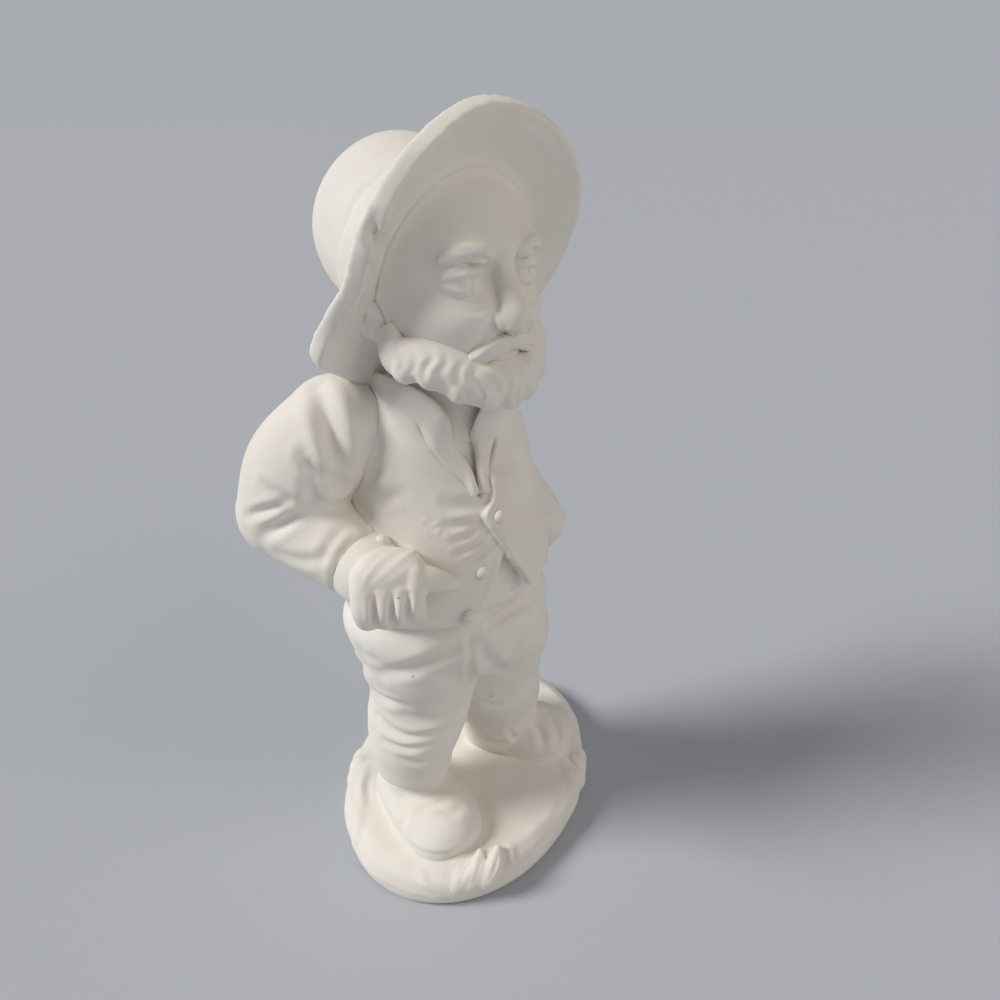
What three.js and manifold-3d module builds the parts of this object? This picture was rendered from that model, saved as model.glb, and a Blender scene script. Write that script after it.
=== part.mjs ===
// Bisque figurine: an elderly person in a wide hat, jacket, trousers and boots on a grassy mound.
// Millimetres, +Z up, facing -Y, the figure's right side at -X.
// The origin is the middle of the flat underside of the mound.

import * as THREE from "three";
import { mergeVertices } from "three/addons/utils/BufferGeometryUtils.js";
import Module from "manifold-3d";

const wasm = await Module();
wasm.setup();

// Casting
const seam = 0.3;
const wall = 4.5;
const fineness = 0.12;
const ventWidth = 4;
const bodyVentWidth = 18;

// Mound
const baseLength = 108;
const baseDepth = 82.4;
const baseHeight = 14;
const baseTurn = 37;
const drainWidth = 8;
const tuftHeight = 11;
const bladeWidth = 5.6;
const bladeSpacing = 4.4;

// Boots
const bootLength = 38;
const bootWidth = 26;
const bootHeight = 36;
const rightAnkle = [-25.2, -8.2];
const leftAnkle = [14.5, 3.5];
const rightToeOut = 6;
const leftToeOut = 46;

// Trousers
const hipWidth = 65;
const hipDepth = 51;
const hipHeight = 84;
const waistHeight = 105;
const tuckDepth = 10;
const legWidth = 32;
const rightHem = 30;
const leftHem = 15.5;
const rightHemWidth = 25.4;
const leftHemWidth = 28.4;
const rightKnee = [-19, -5.5];
const leftKnee = [8.6, -1.4];
const bodyX = -9.2;
const bodyY = -5.8;

// Jacket and body
const jacketHem = 95;
const bellyWidth = 62;
const bellyDepth = 50;
const chestWidth = 53;
const chestDepth = 42;
const chestHeight = 132;
const shoulderHeight = 150;
const jacketThickness = 3;
const neckOpening = 29;
const neckX = -12.5;
const claspHeight = 125.5;
const claspX = -5;
const cutawayWidth = 40;
const bandHeight = 7;
const collarWidth = 7.5;
const buttonWidth = 3.4;

// Arms
const rightSleeveWidth = 27;
const leftSleeveWidth = 19;
const rightWristWidth = 16;
const leftWristWidth = 12;
const cuffThickness = 1.3;
const cuffLength = 7;
const rightShoulder = [-36.4, 0.8, 147];
const rightUpperArm = [-46.2, 2.2, 137];
const rightElbow = [-51.7, 4.7, 124.2];
const rightWrist = [-40.8, -16.5, 115.6];
const leftShoulder = [9.3, 1.2, 140];
const leftUpperArm = [15.3, 1.2, 119];
const leftElbow = [29.3, 1.7, 99.5];
const leftWrist = [23.5, 3, 90.5];

// Head and hat
const headCentre = [-8.2, -10.8, shoulderHeight + 34];
const headTurn = 10;
const headWidth = 43;
const headDepth = 45;
const chinDrop = 23;
const neckWidth = 27;
const hatTilt = 68;
const hatRise = 2.4;
const hatEase = 4;
const crownWidth = 47;
const crownHeight = 34.5;
const brimThickness = 4.6;
const brimReach = [38.8, 40.2, 41.4, 41.8, 41, 39.1, 37, 35.8, 36, 36.2, 37.6, 38.8, 32.8, 32.5, 34, 36.2];
const brimDrop = [1, 2.4, 4, 2.8, 1, 0.3, 0, -0.1, 0, -0.4, 0, 2, 7, 7, 5.5, 3];

const degrees = Math.PI / 180;
const pieces = [];

// Drawn shape with its seams closed, ready to be bent and moved
function welded(shape) {
  for (const extra of ["uv", "normal"]) {
    shape.deleteAttribute(extra);
  }
  return mergeVertices(shape, 1e-4);
}

// Closed solid from a welded shape
function solidOf(shape) {
  const corners = shape.index.array;
  const kept = [];
  for (let i = 0; i < corners.length; i += 3) {
    const [a, b, c] = [corners[i], corners[i + 1], corners[i + 2]];
    if (a !== b && b !== c && c !== a) {
      kept.push(a, b, c);
    }
  }
  const vertProperties = new Float32Array(shape.attributes.position.array);
  const build = (order) =>
    new wasm.Manifold(new wasm.Mesh({ numProp: 3, vertProperties, triVerts: new Uint32Array(order) }));
  const solid = build(kept);
  if (solid.volume() > 0) {
    return solid;
  }
  return build(kept.reverse());
}

function vector(list) {
  return new THREE.Vector3(list[0], list[1], list[2]);
}

// Ovals [x, y, z, half width, half depth] joined into one smooth form.
// Level ovals stay flat; the others stand square to their path.
function loft(ovals, { grow = 0, sides = 28, rows = 16, level = false, side = [1, 0, 0] } = {}) {
  const path = new THREE.CatmullRomCurve3(ovals.map(vector));
  const halves = new THREE.CatmullRomCurve3(
    ovals.map((oval) => new THREE.Vector3(oval[3], oval[4], 0)),
    false,
    "catmullrom",
    0.5,
  );
  const coarse = grow < -1 ? 0.6 : 1;
  const around = Math.ceil(sides * coarse);
  const shape = welded(new THREE.CylinderGeometry(1, 1, 1, around, Math.ceil(rows * coarse)));
  const place = shape.attributes.position;
  for (let i = 0; i < place.count; i += 1) {
    const step = THREE.MathUtils.clamp(place.getY(i) + 0.5, 0, 1);
    const along = level ? new THREE.Vector3(0, 0, 1) : path.getTangent(step);
    const across = vector(side).addScaledVector(along, -vector(side).dot(along)).normalize();
    const front = new THREE.Vector3().crossVectors(across, along);
    const half = halves.getPoint(step);
    const end = step < 1e-6 ? -grow : step > 1 - 1e-6 ? grow : 0;
    const point = path
      .getPoint(step)
      .addScaledVector(along, end)
      .addScaledVector(across, place.getX(i) * Math.max(half.x + grow, 0.2))
      .addScaledVector(front, place.getZ(i) * Math.max(half.y + grow, 0.2));
    place.setXYZ(i, point.x, point.y, point.z);
  }
  return solidOf(shape);
}

// Egg-shaped lump
function blob(centre, radii, { grow = 0, fine = 18, turn = [0, 0, 0] } = {}) {
  const shape = welded(new THREE.SphereGeometry(1, fine, Math.round(fine * 0.65)));
  shape.scale(radii[0] + grow, radii[1] + grow, radii[2] + grow);
  shape.rotateX(turn[0] * degrees);
  shape.rotateY(turn[1] * degrees);
  shape.rotateZ(turn[2] * degrees);
  shape.translate(centre[0], centre[1], centre[2]);
  return solidOf(shape);
}

// Straight limb with round ends
function capsule(from, to, radius, grow = 0) {
  const start = vector(from);
  const reach = vector(to).sub(start);
  const shape = welded(new THREE.CapsuleGeometry(radius + grow, reach.length(), 3, 7));
  const spin = new THREE.Quaternion().setFromUnitVectors(
    new THREE.Vector3(0, 1, 0),
    reach.clone().normalize(),
  );
  shape.applyQuaternion(spin);
  const middle = start.addScaledVector(reach, 0.5);
  shape.translate(middle.x, middle.y, middle.z);
  return solidOf(shape);
}

// Round rod
function rod(from, to, radius) {
  const start = vector(from);
  const reach = vector(to).sub(start);
  const shape = welded(new THREE.CylinderGeometry(radius, radius, reach.length(), 16));
  const spin = new THREE.Quaternion().setFromUnitVectors(
    new THREE.Vector3(0, 1, 0),
    reach.clone().normalize(),
  );
  shape.applyQuaternion(spin);
  const middle = start.addScaledVector(reach, 0.5);
  shape.translate(middle.x, middle.y, middle.z);
  return solidOf(shape);
}

// Small round button, half sunk in the cloth
function dome(spot, radius, grow) {
  return blob(spot, [radius, radius, radius], { grow, fine: 10 });
}

// Form turned from a profile of [radius, height] points
function turned(profile, segments) {
  const points = profile.map((point) => new THREE.Vector2(point[0], point[1]));
  const shape = welded(new THREE.LatheGeometry(points, segments));
  shape.rotateX(90 * degrees);
  return shape;
}

// Flat outline in X and Z, pressed through from front to back
function slab(outline, yFront, yBack) {
  const drawn = new THREE.Shape(outline.map((point) => new THREE.Vector2(point[0], point[1])));
  const shape = welded(new THREE.ExtrudeGeometry(drawn, { depth: yBack - yFront, bevelEnabled: false }));
  shape.rotateX(90 * degrees);
  shape.translate(0, yBack, 0);
  return solidOf(shape);
}

function joinedUp(solids) {
  return wasm.Manifold.union(solids);
}

function boxesMeet(a, b) {
  const one = a.boundingBox();
  const two = b.boundingBox();
  return [0, 1, 2].every((k) => one.min[k] < two.max[k] && two.min[k] < one.max[k]);
}

// Each piece is trimmed to fit the pieces already in place, and keeps its largest body
function addPiece(name, body, keepOut) {
  let solid = body;
  for (const earlier of pieces) {
    if (boxesMeet(solid, earlier.keepOut)) {
      solid = solid.subtract(earlier.keepOut);
    }
  }
  const bodies = solid.simplify(fineness).decompose();
  bodies.sort((a, b) => b.volume() - a.volume());
  pieces.push({ name, solid: bodies[0], keepOut });
}

// Mound
function moundForm(grow) {
  const profile = [
    [0, -grow],
    [0.94, -grow],
    [0.985, baseHeight * 0.14],
    [1, baseHeight * 0.4],
    [0.975, baseHeight * 0.68 + grow],
    [0.9, baseHeight * 0.87 + grow],
    [0.62, baseHeight * 0.97 + grow],
    [0.3, baseHeight + grow],
    [0, baseHeight + grow],
  ];
  const shape = turned(profile, 28);
  shape.scale(baseLength / 2 + grow, baseDepth / 2 + grow, 1);
  shape.rotateZ(baseTurn * degrees);
  return solidOf(shape);
}

const ventUp = ([x, y]) => rod([x, y, wall + 1], [x, y, bootHeight + 12], ventWidth / 2);
const rightVent = ventUp(rightAnkle);
const leftVent = ventUp(leftAnkle);
const drain = rod([0, baseDepth * 0.27, -1], [0, baseDepth * 0.27, wall + 1], drainWidth / 2);
addPiece(
  "base_mound",
  moundForm(0).subtract(moundForm(-wall)).subtract(drain).subtract(rightVent).subtract(leftVent),
  moundForm(seam),
);

// Boots: foot along -Y, then turned out and set under the ankle
function bootForm(ankle, toeOut, grow) {
  const half = bootWidth / 2;
  const instep = bootWidth * 0.365;
  const foot = loft(
    [
      [0, bootLength * 0.3, baseHeight + 3, half * 0.4, instep * 0.42],
      [0, bootLength * 0.26, baseHeight + 3.5, half * 0.75, instep * 0.84],
      [0, bootLength * 0.05, baseHeight + 3.5, half * 0.9, instep],
      [0, -bootLength * 0.3, baseHeight + 1.5, half, instep],
      [0, -bootLength * 0.52, baseHeight + 0.5, half * 0.93, instep * 0.9],
      [0, -bootLength * 0.65, baseHeight - 0.8, half * 0.68, instep * 0.68],
      [0, -bootLength * 0.7, baseHeight - 1.6, half * 0.3, instep * 0.32],
    ],
    { grow, sides: 14, rows: 9 },
  );
  const shaft = loft(
    [
      [0, 0, baseHeight - 4, half * 0.86, half * 0.9],
      [0, 0, baseHeight + 8, half * 0.78, half * 0.82],
      [0, 0, bootHeight, half * 0.66, half * 0.7],
    ],
    { grow, sides: 16, rows: 3, level: true },
  );
  return foot.add(shaft).rotate([0, 0, toeOut]).translate([ankle[0], ankle[1], 0]);
}

const rightBoot = (grow) => bootForm(rightAnkle, rightToeOut, grow);
const leftBoot = (grow) => bootForm(leftAnkle, leftToeOut, grow);
addPiece("right_boot", rightBoot(0).subtract(rightVent), rightBoot(seam));
addPiece("left_boot", leftBoot(0).subtract(leftVent), leftBoot(seam));

// Trousers
function legForm(ankle, knee, [hem, hemWidth], hipX, grow) {
  const half = legWidth / 2;
  const kneeHeight = (hem + hipHeight) / 2 + 3;
  const between = (share) => [0, 1].map((k) => knee[k] + (ankle[k] - knee[k]) * share);
  return loft(
    [
      [hipX, bodyY, hipHeight + 4, half, half * 1.3],
      [(hipX + knee[0]) / 2, bodyY + 0.5, hipHeight - 11, half * 1.12, half * 1.36],
      [...knee, kneeHeight, half * 1.05, half * 1.05],
      [...between(0.4), hem + (kneeHeight - hem) * 0.65, half * 1.02, half],
      [...between(0.8), hem + (kneeHeight - hem) * 0.37, half * 0.92, half * 0.9],
      [...ankle, hem + 5, hemWidth * 0.505, hemWidth * 0.515],
      [...ankle, hem, hemWidth * 0.49, hemWidth * 0.51],
    ],
    { grow, sides: 14, rows: 9, level: true },
  );
}

// The waist is tucked inside the jacket
const waistHalf = [bellyWidth * 0.515 - jacketThickness - seam, bellyDepth * 0.5 - jacketThickness - seam];
function trousersForm(grow) {
  const hips = loft(
    [
      [bodyX + 1, bodyY, hipHeight - 20, hipWidth * 0.28, hipDepth * 0.25],
      [bodyX + 0.5, bodyY, hipHeight - 10, hipWidth * 0.44, hipDepth * 0.43],
      [bodyX, bodyY, hipHeight, hipWidth * 0.495, hipDepth * 0.5],
      [bodyX, bodyY, (hipHeight + waistHeight - tuckDepth) / 2, hipWidth * 0.495, hipDepth * 0.49],
      [bodyX, bodyY - 1, waistHeight - tuckDepth, waistHalf[0], waistHalf[1]],
      [bodyX, bodyY - 1, waistHeight, waistHalf[0] - 1, waistHalf[1] - 1],
    ],
    { grow, sides: 20, rows: 7, level: true },
  );
  const legs = [
    legForm(rightAnkle, rightKnee, [rightHem, rightHemWidth], bodyX - hipWidth * 0.2, grow),
    legForm(leftAnkle, leftKnee, [leftHem, leftHemWidth], bodyX + hipWidth * 0.2, grow),
  ];
  return joinedUp([hips, ...legs]);
}

const bodyVentTop = Math.max(waistHeight, jacketHem) + 2 * wall + jacketThickness + 1;
const bodyVent = rod([bodyX, bodyY, waistHeight - wall - 2], [bodyX, bodyY, bodyVentTop], bodyVentWidth / 2);
addPiece(
  "trousers",
  trousersForm(0).subtract(trousersForm(-wall)).subtract(bodyVent).subtract(rightVent).subtract(leftVent),
  trousersForm(seam),
);

// Jacket outline from the hem to the neck
// A lower hem flares over the hips, which widen below the tuck of the waist
function jacketForm(grow) {
  const middle = (jacketHem + chestHeight) / 2;
  const tuck = waistHeight - tuckDepth;
  const flare = (tuck - jacketHem) / (tuck - hipHeight);
  const hemWidth = bellyWidth * 0.515 + flare * (hipWidth * 0.495 - waistHalf[0]);
  const hemDepth = bellyDepth * 0.5 + flare * (hipDepth * 0.5 - waistHalf[1]);
  return loft(
    [
      [bodyX, bodyY - 1, jacketHem, hemWidth, hemDepth],
      [bodyX, bodyY - 2, jacketHem + 9, hemWidth - bellyWidth * 0.015, hemDepth],
      [bodyX, bodyY - 2, middle + 4, bellyWidth * 0.485, bellyDepth * 0.48],
      [bodyX, bodyY, chestHeight, chestWidth * 0.5, chestDepth * 0.5],
      [bodyX, bodyY + 1, shoulderHeight - 8, chestWidth * 0.47, chestDepth * 0.46],
      [bodyX, bodyY + 1, shoulderHeight - 2, chestWidth * 0.42, chestDepth * 0.43],
      [bodyX, bodyY, shoulderHeight + 4, chestWidth * 0.35, chestDepth * 0.41],
      [bodyX, bodyY - 1, shoulderHeight + 10, neckWidth * 0.575, neckWidth * 0.575],
    ],
    { grow, sides: 22, rows: 12, level: true },
  );
}

const neckTop = headCentre[2] - chinDrop + 14;
const headVent = rod(
  [bodyX, bodyY, shoulderHeight - wall - 12],
  [headCentre[0], headCentre[1] + 3, headCentre[2]],
  ventWidth / 2,
);
const block = solidOf(welded(new THREE.BoxGeometry(200, 200, 200)));
const under = block.translate([0, 0, waistHeight + seam - 100]);
const aboveBody = block.translate([0, 0, shoulderHeight + 100]);
const skin = -jacketThickness - seam;
const torsoForm = (grow) => jacketForm(skin + grow).subtract(under.translate([0, 0, -grow]));
addPiece(
  "torso",
  torsoForm(0)
    .subtract(jacketForm(skin - wall).subtract(under.translate([0, 0, wall])))
    .subtract(aboveBody)
    .subtract(bodyVent)
    .subtract(headVent),
  torsoForm(seam).subtract(aboveBody.translate([0, 0, seam])),
);

// Waistband round the top of the trousers
function bandForm(grow) {
  const top = waistHeight - 1;
  return loft(
    [
      [bodyX, bodyY - 1, top - bandHeight, waistHalf[0] + 1.5, waistHalf[1] + 1.5],
      [bodyX, bodyY - 1, top - bandHeight / 2, waistHalf[0] + 1.3, waistHalf[1] + 1.3],
      [bodyX, bodyY - 1, top, waistHalf[0] + 0.7, waistHalf[1] + 0.7],
    ],
    { grow, sides: 26, rows: 2, level: true },
  );
}
addPiece("waistband", bandForm(0), bandForm(seam));

// Neck
function neckForm(grow) {
  const half = neckWidth / 2;
  return loft(
    [
      [bodyX, bodyY, shoulderHeight, half * 1.05, half * 1.05],
      [(bodyX + headCentre[0]) / 2, (bodyY + headCentre[1]) / 2, (shoulderHeight + neckTop) / 2, half, half],
      [headCentre[0], headCentre[1] + 3, neckTop, half * 0.98, half * 0.98],
    ],
    { grow, sides: 20, rows: 3, level: true },
  );
}
addPiece("neck", neckForm(0).subtract(headVent), neckForm(seam));

// Openings of the jacket: the V at the neck and the cutaway below the clasp
const openingFront = bodyY - bellyDepth;
function openings(grow) {
  const neck = slab(
    [
      [neckX + neckOpening * 0.1, claspHeight + 4 - grow],
      [neckX + neckOpening * 0.35 + grow, claspHeight + 16.5],
      [neckX + neckOpening / 2 + grow, shoulderHeight + 14],
      [neckX - neckOpening / 2 - grow, shoulderHeight + 14],
      [neckX - neckOpening * 0.3 - grow, claspHeight + 16.5],
    ],
    openingFront,
    bodyY,
  );
  const cutaway = slab(
    [
      [claspX, claspHeight - 10.5 + grow],
      [claspX - cutawayWidth * 0.19 - grow, jacketHem + 5],
      [claspX - cutawayWidth * 0.27 - grow, jacketHem - 2],
      [claspX + cutawayWidth * 0.75 + grow, jacketHem - 2],
      [claspX + cutawayWidth * 0.48 + grow, jacketHem + 6 + grow],
      [claspX + cutawayWidth * 0.18 + grow, jacketHem + 8 + grow],
    ],
    openingFront,
    bodyY,
  );
  return neck.add(cutaway);
}
addPiece("jacket", jacketForm(0).subtract(openings(0)), jacketForm(seam).subtract(openings(-seam)));

// Point on the jacket's outside, by height and angle from the front
function onJacket(height, angle, out) {
  const spot = jacketForm(out).slice(height).toPolygons();
  const rim = spot.reduce((a, b) => (a.length > b.length ? a : b));
  const aim = [Math.sin(angle * degrees), -Math.cos(angle * degrees)];
  let best = rim[0];
  let most = -Infinity;
  for (let i = 0; i < rim.length; i += 1) {
    const start = rim[i];
    const end = rim[(i + 1) % rim.length];
    for (let k = 0; k < 6; k += 1) {
      const x = start[0] + ((end[0] - start[0]) * k) / 6;
      const y = start[1] + ((end[1] - start[1]) * k) / 6;
      const reach = Math.hypot(x - bodyX, y - bodyY);
      const match = ((x - bodyX) * aim[0] + (y - bodyY) * aim[1]) / reach;
      if (match > most) {
        most = match;
        best = [x, y];
      }
    }
  }
  return [best[0], best[1], height];
}

// Buttons and clasp: small domes pressed onto the cloth
const buttons = [
  ["upper_button", onJacket(claspHeight - 14, -7, 0.4), buttonWidth / 2],
  ["lower_button", onJacket(jacketHem + 4, -14, 0.4), buttonWidth / 2],
  ["collar_clasp", onJacket(claspHeight, 7, 0.4), buttonWidth / 2],
];
for (const [name, spot, radius] of buttons) {
  addPiece(name, dome(spot, radius, 0), dome(spot, radius, seam));
}

// Shawl collar, in two halves from the middle of the back to the clasp
function collarForm(x, grow) {
  const half = collarWidth / 2;
  const turn = 0.275 * neckOpening;
  const lean = -12;
  const stops = [
    [claspHeight + 5.5, x * 3.5 - 1, 0.5, 0.2],
    [claspHeight + 11, x * (turn * 1.03) + lean * 0.15, 0.75, -0.6],
    [claspHeight + 17, x * (turn * 2.28) + lean * 0.52, 0.95, -0.8],
    [shoulderHeight + 2, x * (turn * 3.5) + lean * 0.67, 1.1, -0.3],
    [shoulderHeight + 7, x * (turn + 50) + lean * 0.5, 1, 0.2],
    [shoulderHeight + 7, x * (turn + 92), 0.9, 0.2],
    [shoulderHeight + 5, x * 145, 0.85, 0.2],
    [shoulderHeight + 4, x * 177, 0.85, 0.2],
  ];
  const ovals = stops.map(([height, angle, size, out]) => {
    const spot = onJacket(height, angle, out);
    return [...spot, half * size, 1.4];
  });
  return loft(ovals, { grow, sides: 8, rows: 18, side: [0, 0, 1] });
}
addPiece("right_collar", collarForm(-1, 0), collarForm(-1, seam));
addPiece("left_collar", collarForm(1, 0), collarForm(1, seam));

// Sleeves: upper arm and forearm meeting in a round elbow
function sleeveForm([shoulder, middle, elbow, wrist], width, grow) {
  const half = width / 2;
  const fore = vector(elbow).lerp(vector(wrist), 0.5).toArray();
  const upper = loft(
    [
      [...shoulder, half, half],
      [...middle, half * 1.1, half * 1.08],
      [...elbow, half * 0.95, half * 0.95],
    ],
    { grow, sides: 14, rows: 6, side: [0, 1, 0] },
  );
  const lower = loft(
    [
      [...elbow, half * 0.93, half * 0.93],
      [...fore, half * 0.84, half * 0.84],
      [...wrist, half * 0.7, half * 0.7],
    ],
    { grow, sides: 14, rows: 4, side: [0, 0, 1] },
  );
  const joint = blob(elbow, [half * 0.95, half * 0.95, half * 0.95], { grow, fine: 14 });
  const top = blob(shoulder, [half, half, half], { grow, fine: 14 });
  return joinedUp([upper, lower, joint, top]);
}

// Cuff on from the wrist, along the forearm
function cuffForm([elbow, wrist], wristHalf, grow) {
  const half = wristHalf + cuffThickness;
  const along = vector(wrist).sub(vector(elbow)).normalize();
  const at = (step) => vector(wrist).addScaledVector(along, step).toArray();
  return loft(
    [
      [...at(-0.5), half * 0.95, half * 0.95],
      [...at(cuffLength * 0.5), half * 1.02, half * 1.02],
      [...at(cuffLength), half, half],
    ],
    { grow, sides: 18, rows: 2, side: [0, 0, 1] },
  );
}

// Right hand: a loose fist with the thumb lying forward
function rightHandForm(grow) {
  const half = rightWristWidth / 2;
  const along = vector(rightWrist).sub(vector(rightElbow)).normalize();
  const at = (step) => vector(rightWrist).addScaledVector(along, step).toArray();
  const size = rightWristWidth / 16;
  const palm = [rightWrist[0] + 4.5 * size, rightWrist[1] - 10.7 * size, rightWrist[2] - 1.8 * size];
  const near = (x, y, z) => [palm[0] + x * size, palm[1] + y * size, palm[2] + z * size];
  const parts = [
    loft(
      [
        [...at(0), half * 0.95, half * 0.95],
        [...at(cuffLength), half, half],
        [...at(cuffLength + 4), half, half],
      ],
      { grow, sides: 14, rows: 4, side: [0, 0, 1] },
    ),
    blob(near(0.4, -0.8, 1), [half * 1.34, half * 1.14, half * 1.02], { grow, fine: 14 }),
    capsule(near(-4.8, -1.8, -2), near(-4.8, -2, -7), 3 * size, grow),
    capsule(near(-1, -4.5, -1), near(-0.6, -4.6, -6.2), 3 * size, grow),
    capsule(near(2.6, -6, -1), near(2.8, -6.2, -6.4), 3 * size, grow),
    capsule(near(5.8, -6.4, -1), near(6, -6.8, -7.6), 3 * size, grow),
    capsule(near(5, -4.2, 2.2), near(13, -7.6, -1.4), 3.1 * size, grow),
  ];
  return joinedUp(parts);
}

// Left hand: wrist and back of the hand, down into the pocket
function leftHandForm(grow) {
  const half = leftWristWidth / 2;
  const along = vector(leftWrist).sub(vector(leftElbow)).normalize();
  const at = (step) => vector(leftWrist).addScaledVector(along, step).toArray();
  return loft(
    [
      [...at(0), half * 0.95, half * 0.95],
      [...at(cuffLength), half, half],
      [leftWrist[0] - 5, leftWrist[1] - 4, leftWrist[2] - 12, half * 1.1, half * 0.9],
      [leftWrist[0] - 7, leftWrist[1] - 6, leftWrist[2] - 18, half * 0.9, half * 0.7],
    ],
    { grow, sides: 14, rows: 6, side: [0, 0, 1] },
  );
}

const rightArm = [rightShoulder, rightUpperArm, rightElbow, rightWrist];
const leftArm = [leftShoulder, leftUpperArm, leftElbow, leftWrist];
const arms = [
  ["right", rightArm, rightSleeveWidth, rightWristWidth / 2, rightHandForm, [0.6, -0.3, 1]],
  ["left", leftArm, leftSleeveWidth, leftWristWidth / 2, leftHandForm, [1, 0, 0]],
];
for (const [side, arm, width, wristHalf, handForm, buttonAim] of arms) {
  const fore = arm.slice(2);
  const along = vector(fore[1]).sub(vector(fore[0])).normalize();
  const out = vector(buttonAim).addScaledVector(along, -vector(buttonAim).dot(along)).normalize();
  const spot = vector(fore[1])
    .addScaledVector(along, cuffLength * 0.55)
    .addScaledVector(out, wristHalf + cuffThickness + 0.3)
    .toArray();
  addPiece(`${side}_sleeve`, sleeveForm(arm, width, 0), sleeveForm(arm, width, seam));
  addPiece(`${side}_hand`, handForm(0), handForm(seam));
  addPiece(`${side}_cuff`, cuffForm(fore, wristHalf, 0), cuffForm(fore, wristHalf, seam));
  addPiece(`${side}_cuff_button`, dome(spot, buttonWidth / 2, 0), dome(spot, buttonWidth / 2, seam));
}

// Head, drawn about its own middle and then turned
const headFrame = new THREE.Matrix4()
  .makeTranslation(headCentre[0], headCentre[1], headCentre[2])
  .multiply(new THREE.Matrix4().makeRotationZ(headTurn * degrees));
// A hat that is narrow for the head sits further back on it
const hatSeat = Math.max(0, headWidth + hatEase - crownWidth);
const hatFrame = headFrame
  .clone()
  .multiply(new THREE.Matrix4().makeTranslation(0, 1, hatRise))
  .multiply(new THREE.Matrix4().makeRotationX(-hatTilt * degrees))
  .multiply(new THREE.Matrix4().makeTranslation(0, 0, hatSeat));
const atHead = (solid) => solid.transform(headFrame.elements);
const atHat = (solid) => solid.transform(hatFrame.elements);

function skullForm(grow) {
  const half = headWidth / 2;
  const deep = headDepth / 2;
  const skull = blob([0, 1, 4], [half, deep, half * 1.1], { grow, fine: 15 });
  const jaw = loft(
    [
      [0, -5, -chinDrop, half * 0.42, deep * 0.42],
      [0, -4, -chinDrop + 4, half * 0.62, deep * 0.64],
      [0, -2.5, -chinDrop * 0.55, half * 0.84, deep * 0.84],
      [0, -0.5, -chinDrop * 0.2, half * 0.95, deep * 0.95],
      [0, 0.5, 4, half * 0.97, deep * 0.97],
    ],
    { grow, sides: 15, rows: 5, level: true },
  );
  return skull.add(jaw);
}

function faceForm(grow) {
  const deep = headDepth / 2;
  const lumps = [];
  for (const x of [-1, 1]) {
    lumps.push(blob([x * 11, -deep * 0.6, -6.4], [7, 4.8, 6], { grow, fine: 10 }));
    const browTurn = [0, x * -4, x * 14];
    lumps.push(blob([x * 8.4, -deep * 0.84, 8.4], [6, 2.4, 1.9], { grow, fine: 10, turn: browTurn }));
    lumps.push(blob([x * 3.5, -deep * 0.985, -6.9], [2.1, 2.6, 2], { grow, fine: 8 }));
  }
  const nose = loft(
    [
      [0, -deep * 0.88, 8.2, 2.8, 1.6],
      [0, -deep * 0.92, 3.8, 2.1, 1.9],
      [0, -deep * 0.99, -1.2, 2.3, 2.4],
      [0, -deep * 1.05, -5, 3, 3.1],
      [0, -deep * 1.04, -7.4, 2.9, 2.6],
      [0, -deep * 0.97, -8.8, 1.8, 1.3],
    ],
    { grow, sides: 9, rows: 7 },
  );
  const lips = [
    blob([0, -deep * 0.87, -13.1], [5.6, 2.4, 1.2], { grow, fine: 9 }),
    blob([0, -deep * 0.85, -15.3], [5, 2.6, 1.5], { grow, fine: 9 }),
  ];
  const socket = (x) => blob([x * 8.6, -deep * 1.02, 2.4], [5.6, 5, 3.9], { grow: -grow, fine: 10 });
  const eye = (x) => blob([x * 8.6, -deep * 0.65, 2.4], [5.2, 4.9, 4.9], { grow, fine: 10 });
  const sockets = [-1, 1].map(socket);
  const eyes = [-1, 1].map(eye);
  return joinedUp([skullForm(grow).subtract(joinedUp(sockets)), ...lumps, nose, ...lips, ...eyes]);
}
const hollowHalf = [headWidth / 2 - wall, headDepth / 2 - wall, headWidth * 0.55 - wall];
const hollow = blob([0, 1, 4], hollowHalf, { fine: 10 });
addPiece("head", atHead(faceForm(0).subtract(hollow)).subtract(headVent), atHead(faceForm(seam)));

// Hat crown: a hollow dome over the back of the head
function crownForm(grow) {
  const radius = crownWidth / 2 + grow;
  const profile = [
    [0, -grow],
    [radius, -grow],
    [radius * 0.99, crownHeight * 0.25],
    [radius * 0.97, crownHeight * 0.5],
    [radius * 0.93, crownHeight * 0.7],
    [radius * 0.82, crownHeight * 0.87 + grow],
    [radius * 0.62, crownHeight * 0.96 + grow],
    [radius * 0.3, crownHeight + grow],
    [0, crownHeight + grow],
  ];
  return solidOf(turned(profile, 22));
}
const crownHollow = crownForm(-wall).add(crownForm(-wall).translate([0, 0, -wall - 2]));
addPiece("hat_crown", atHat(crownForm(0).subtract(crownHollow)), atHat(crownForm(seam)));

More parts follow.
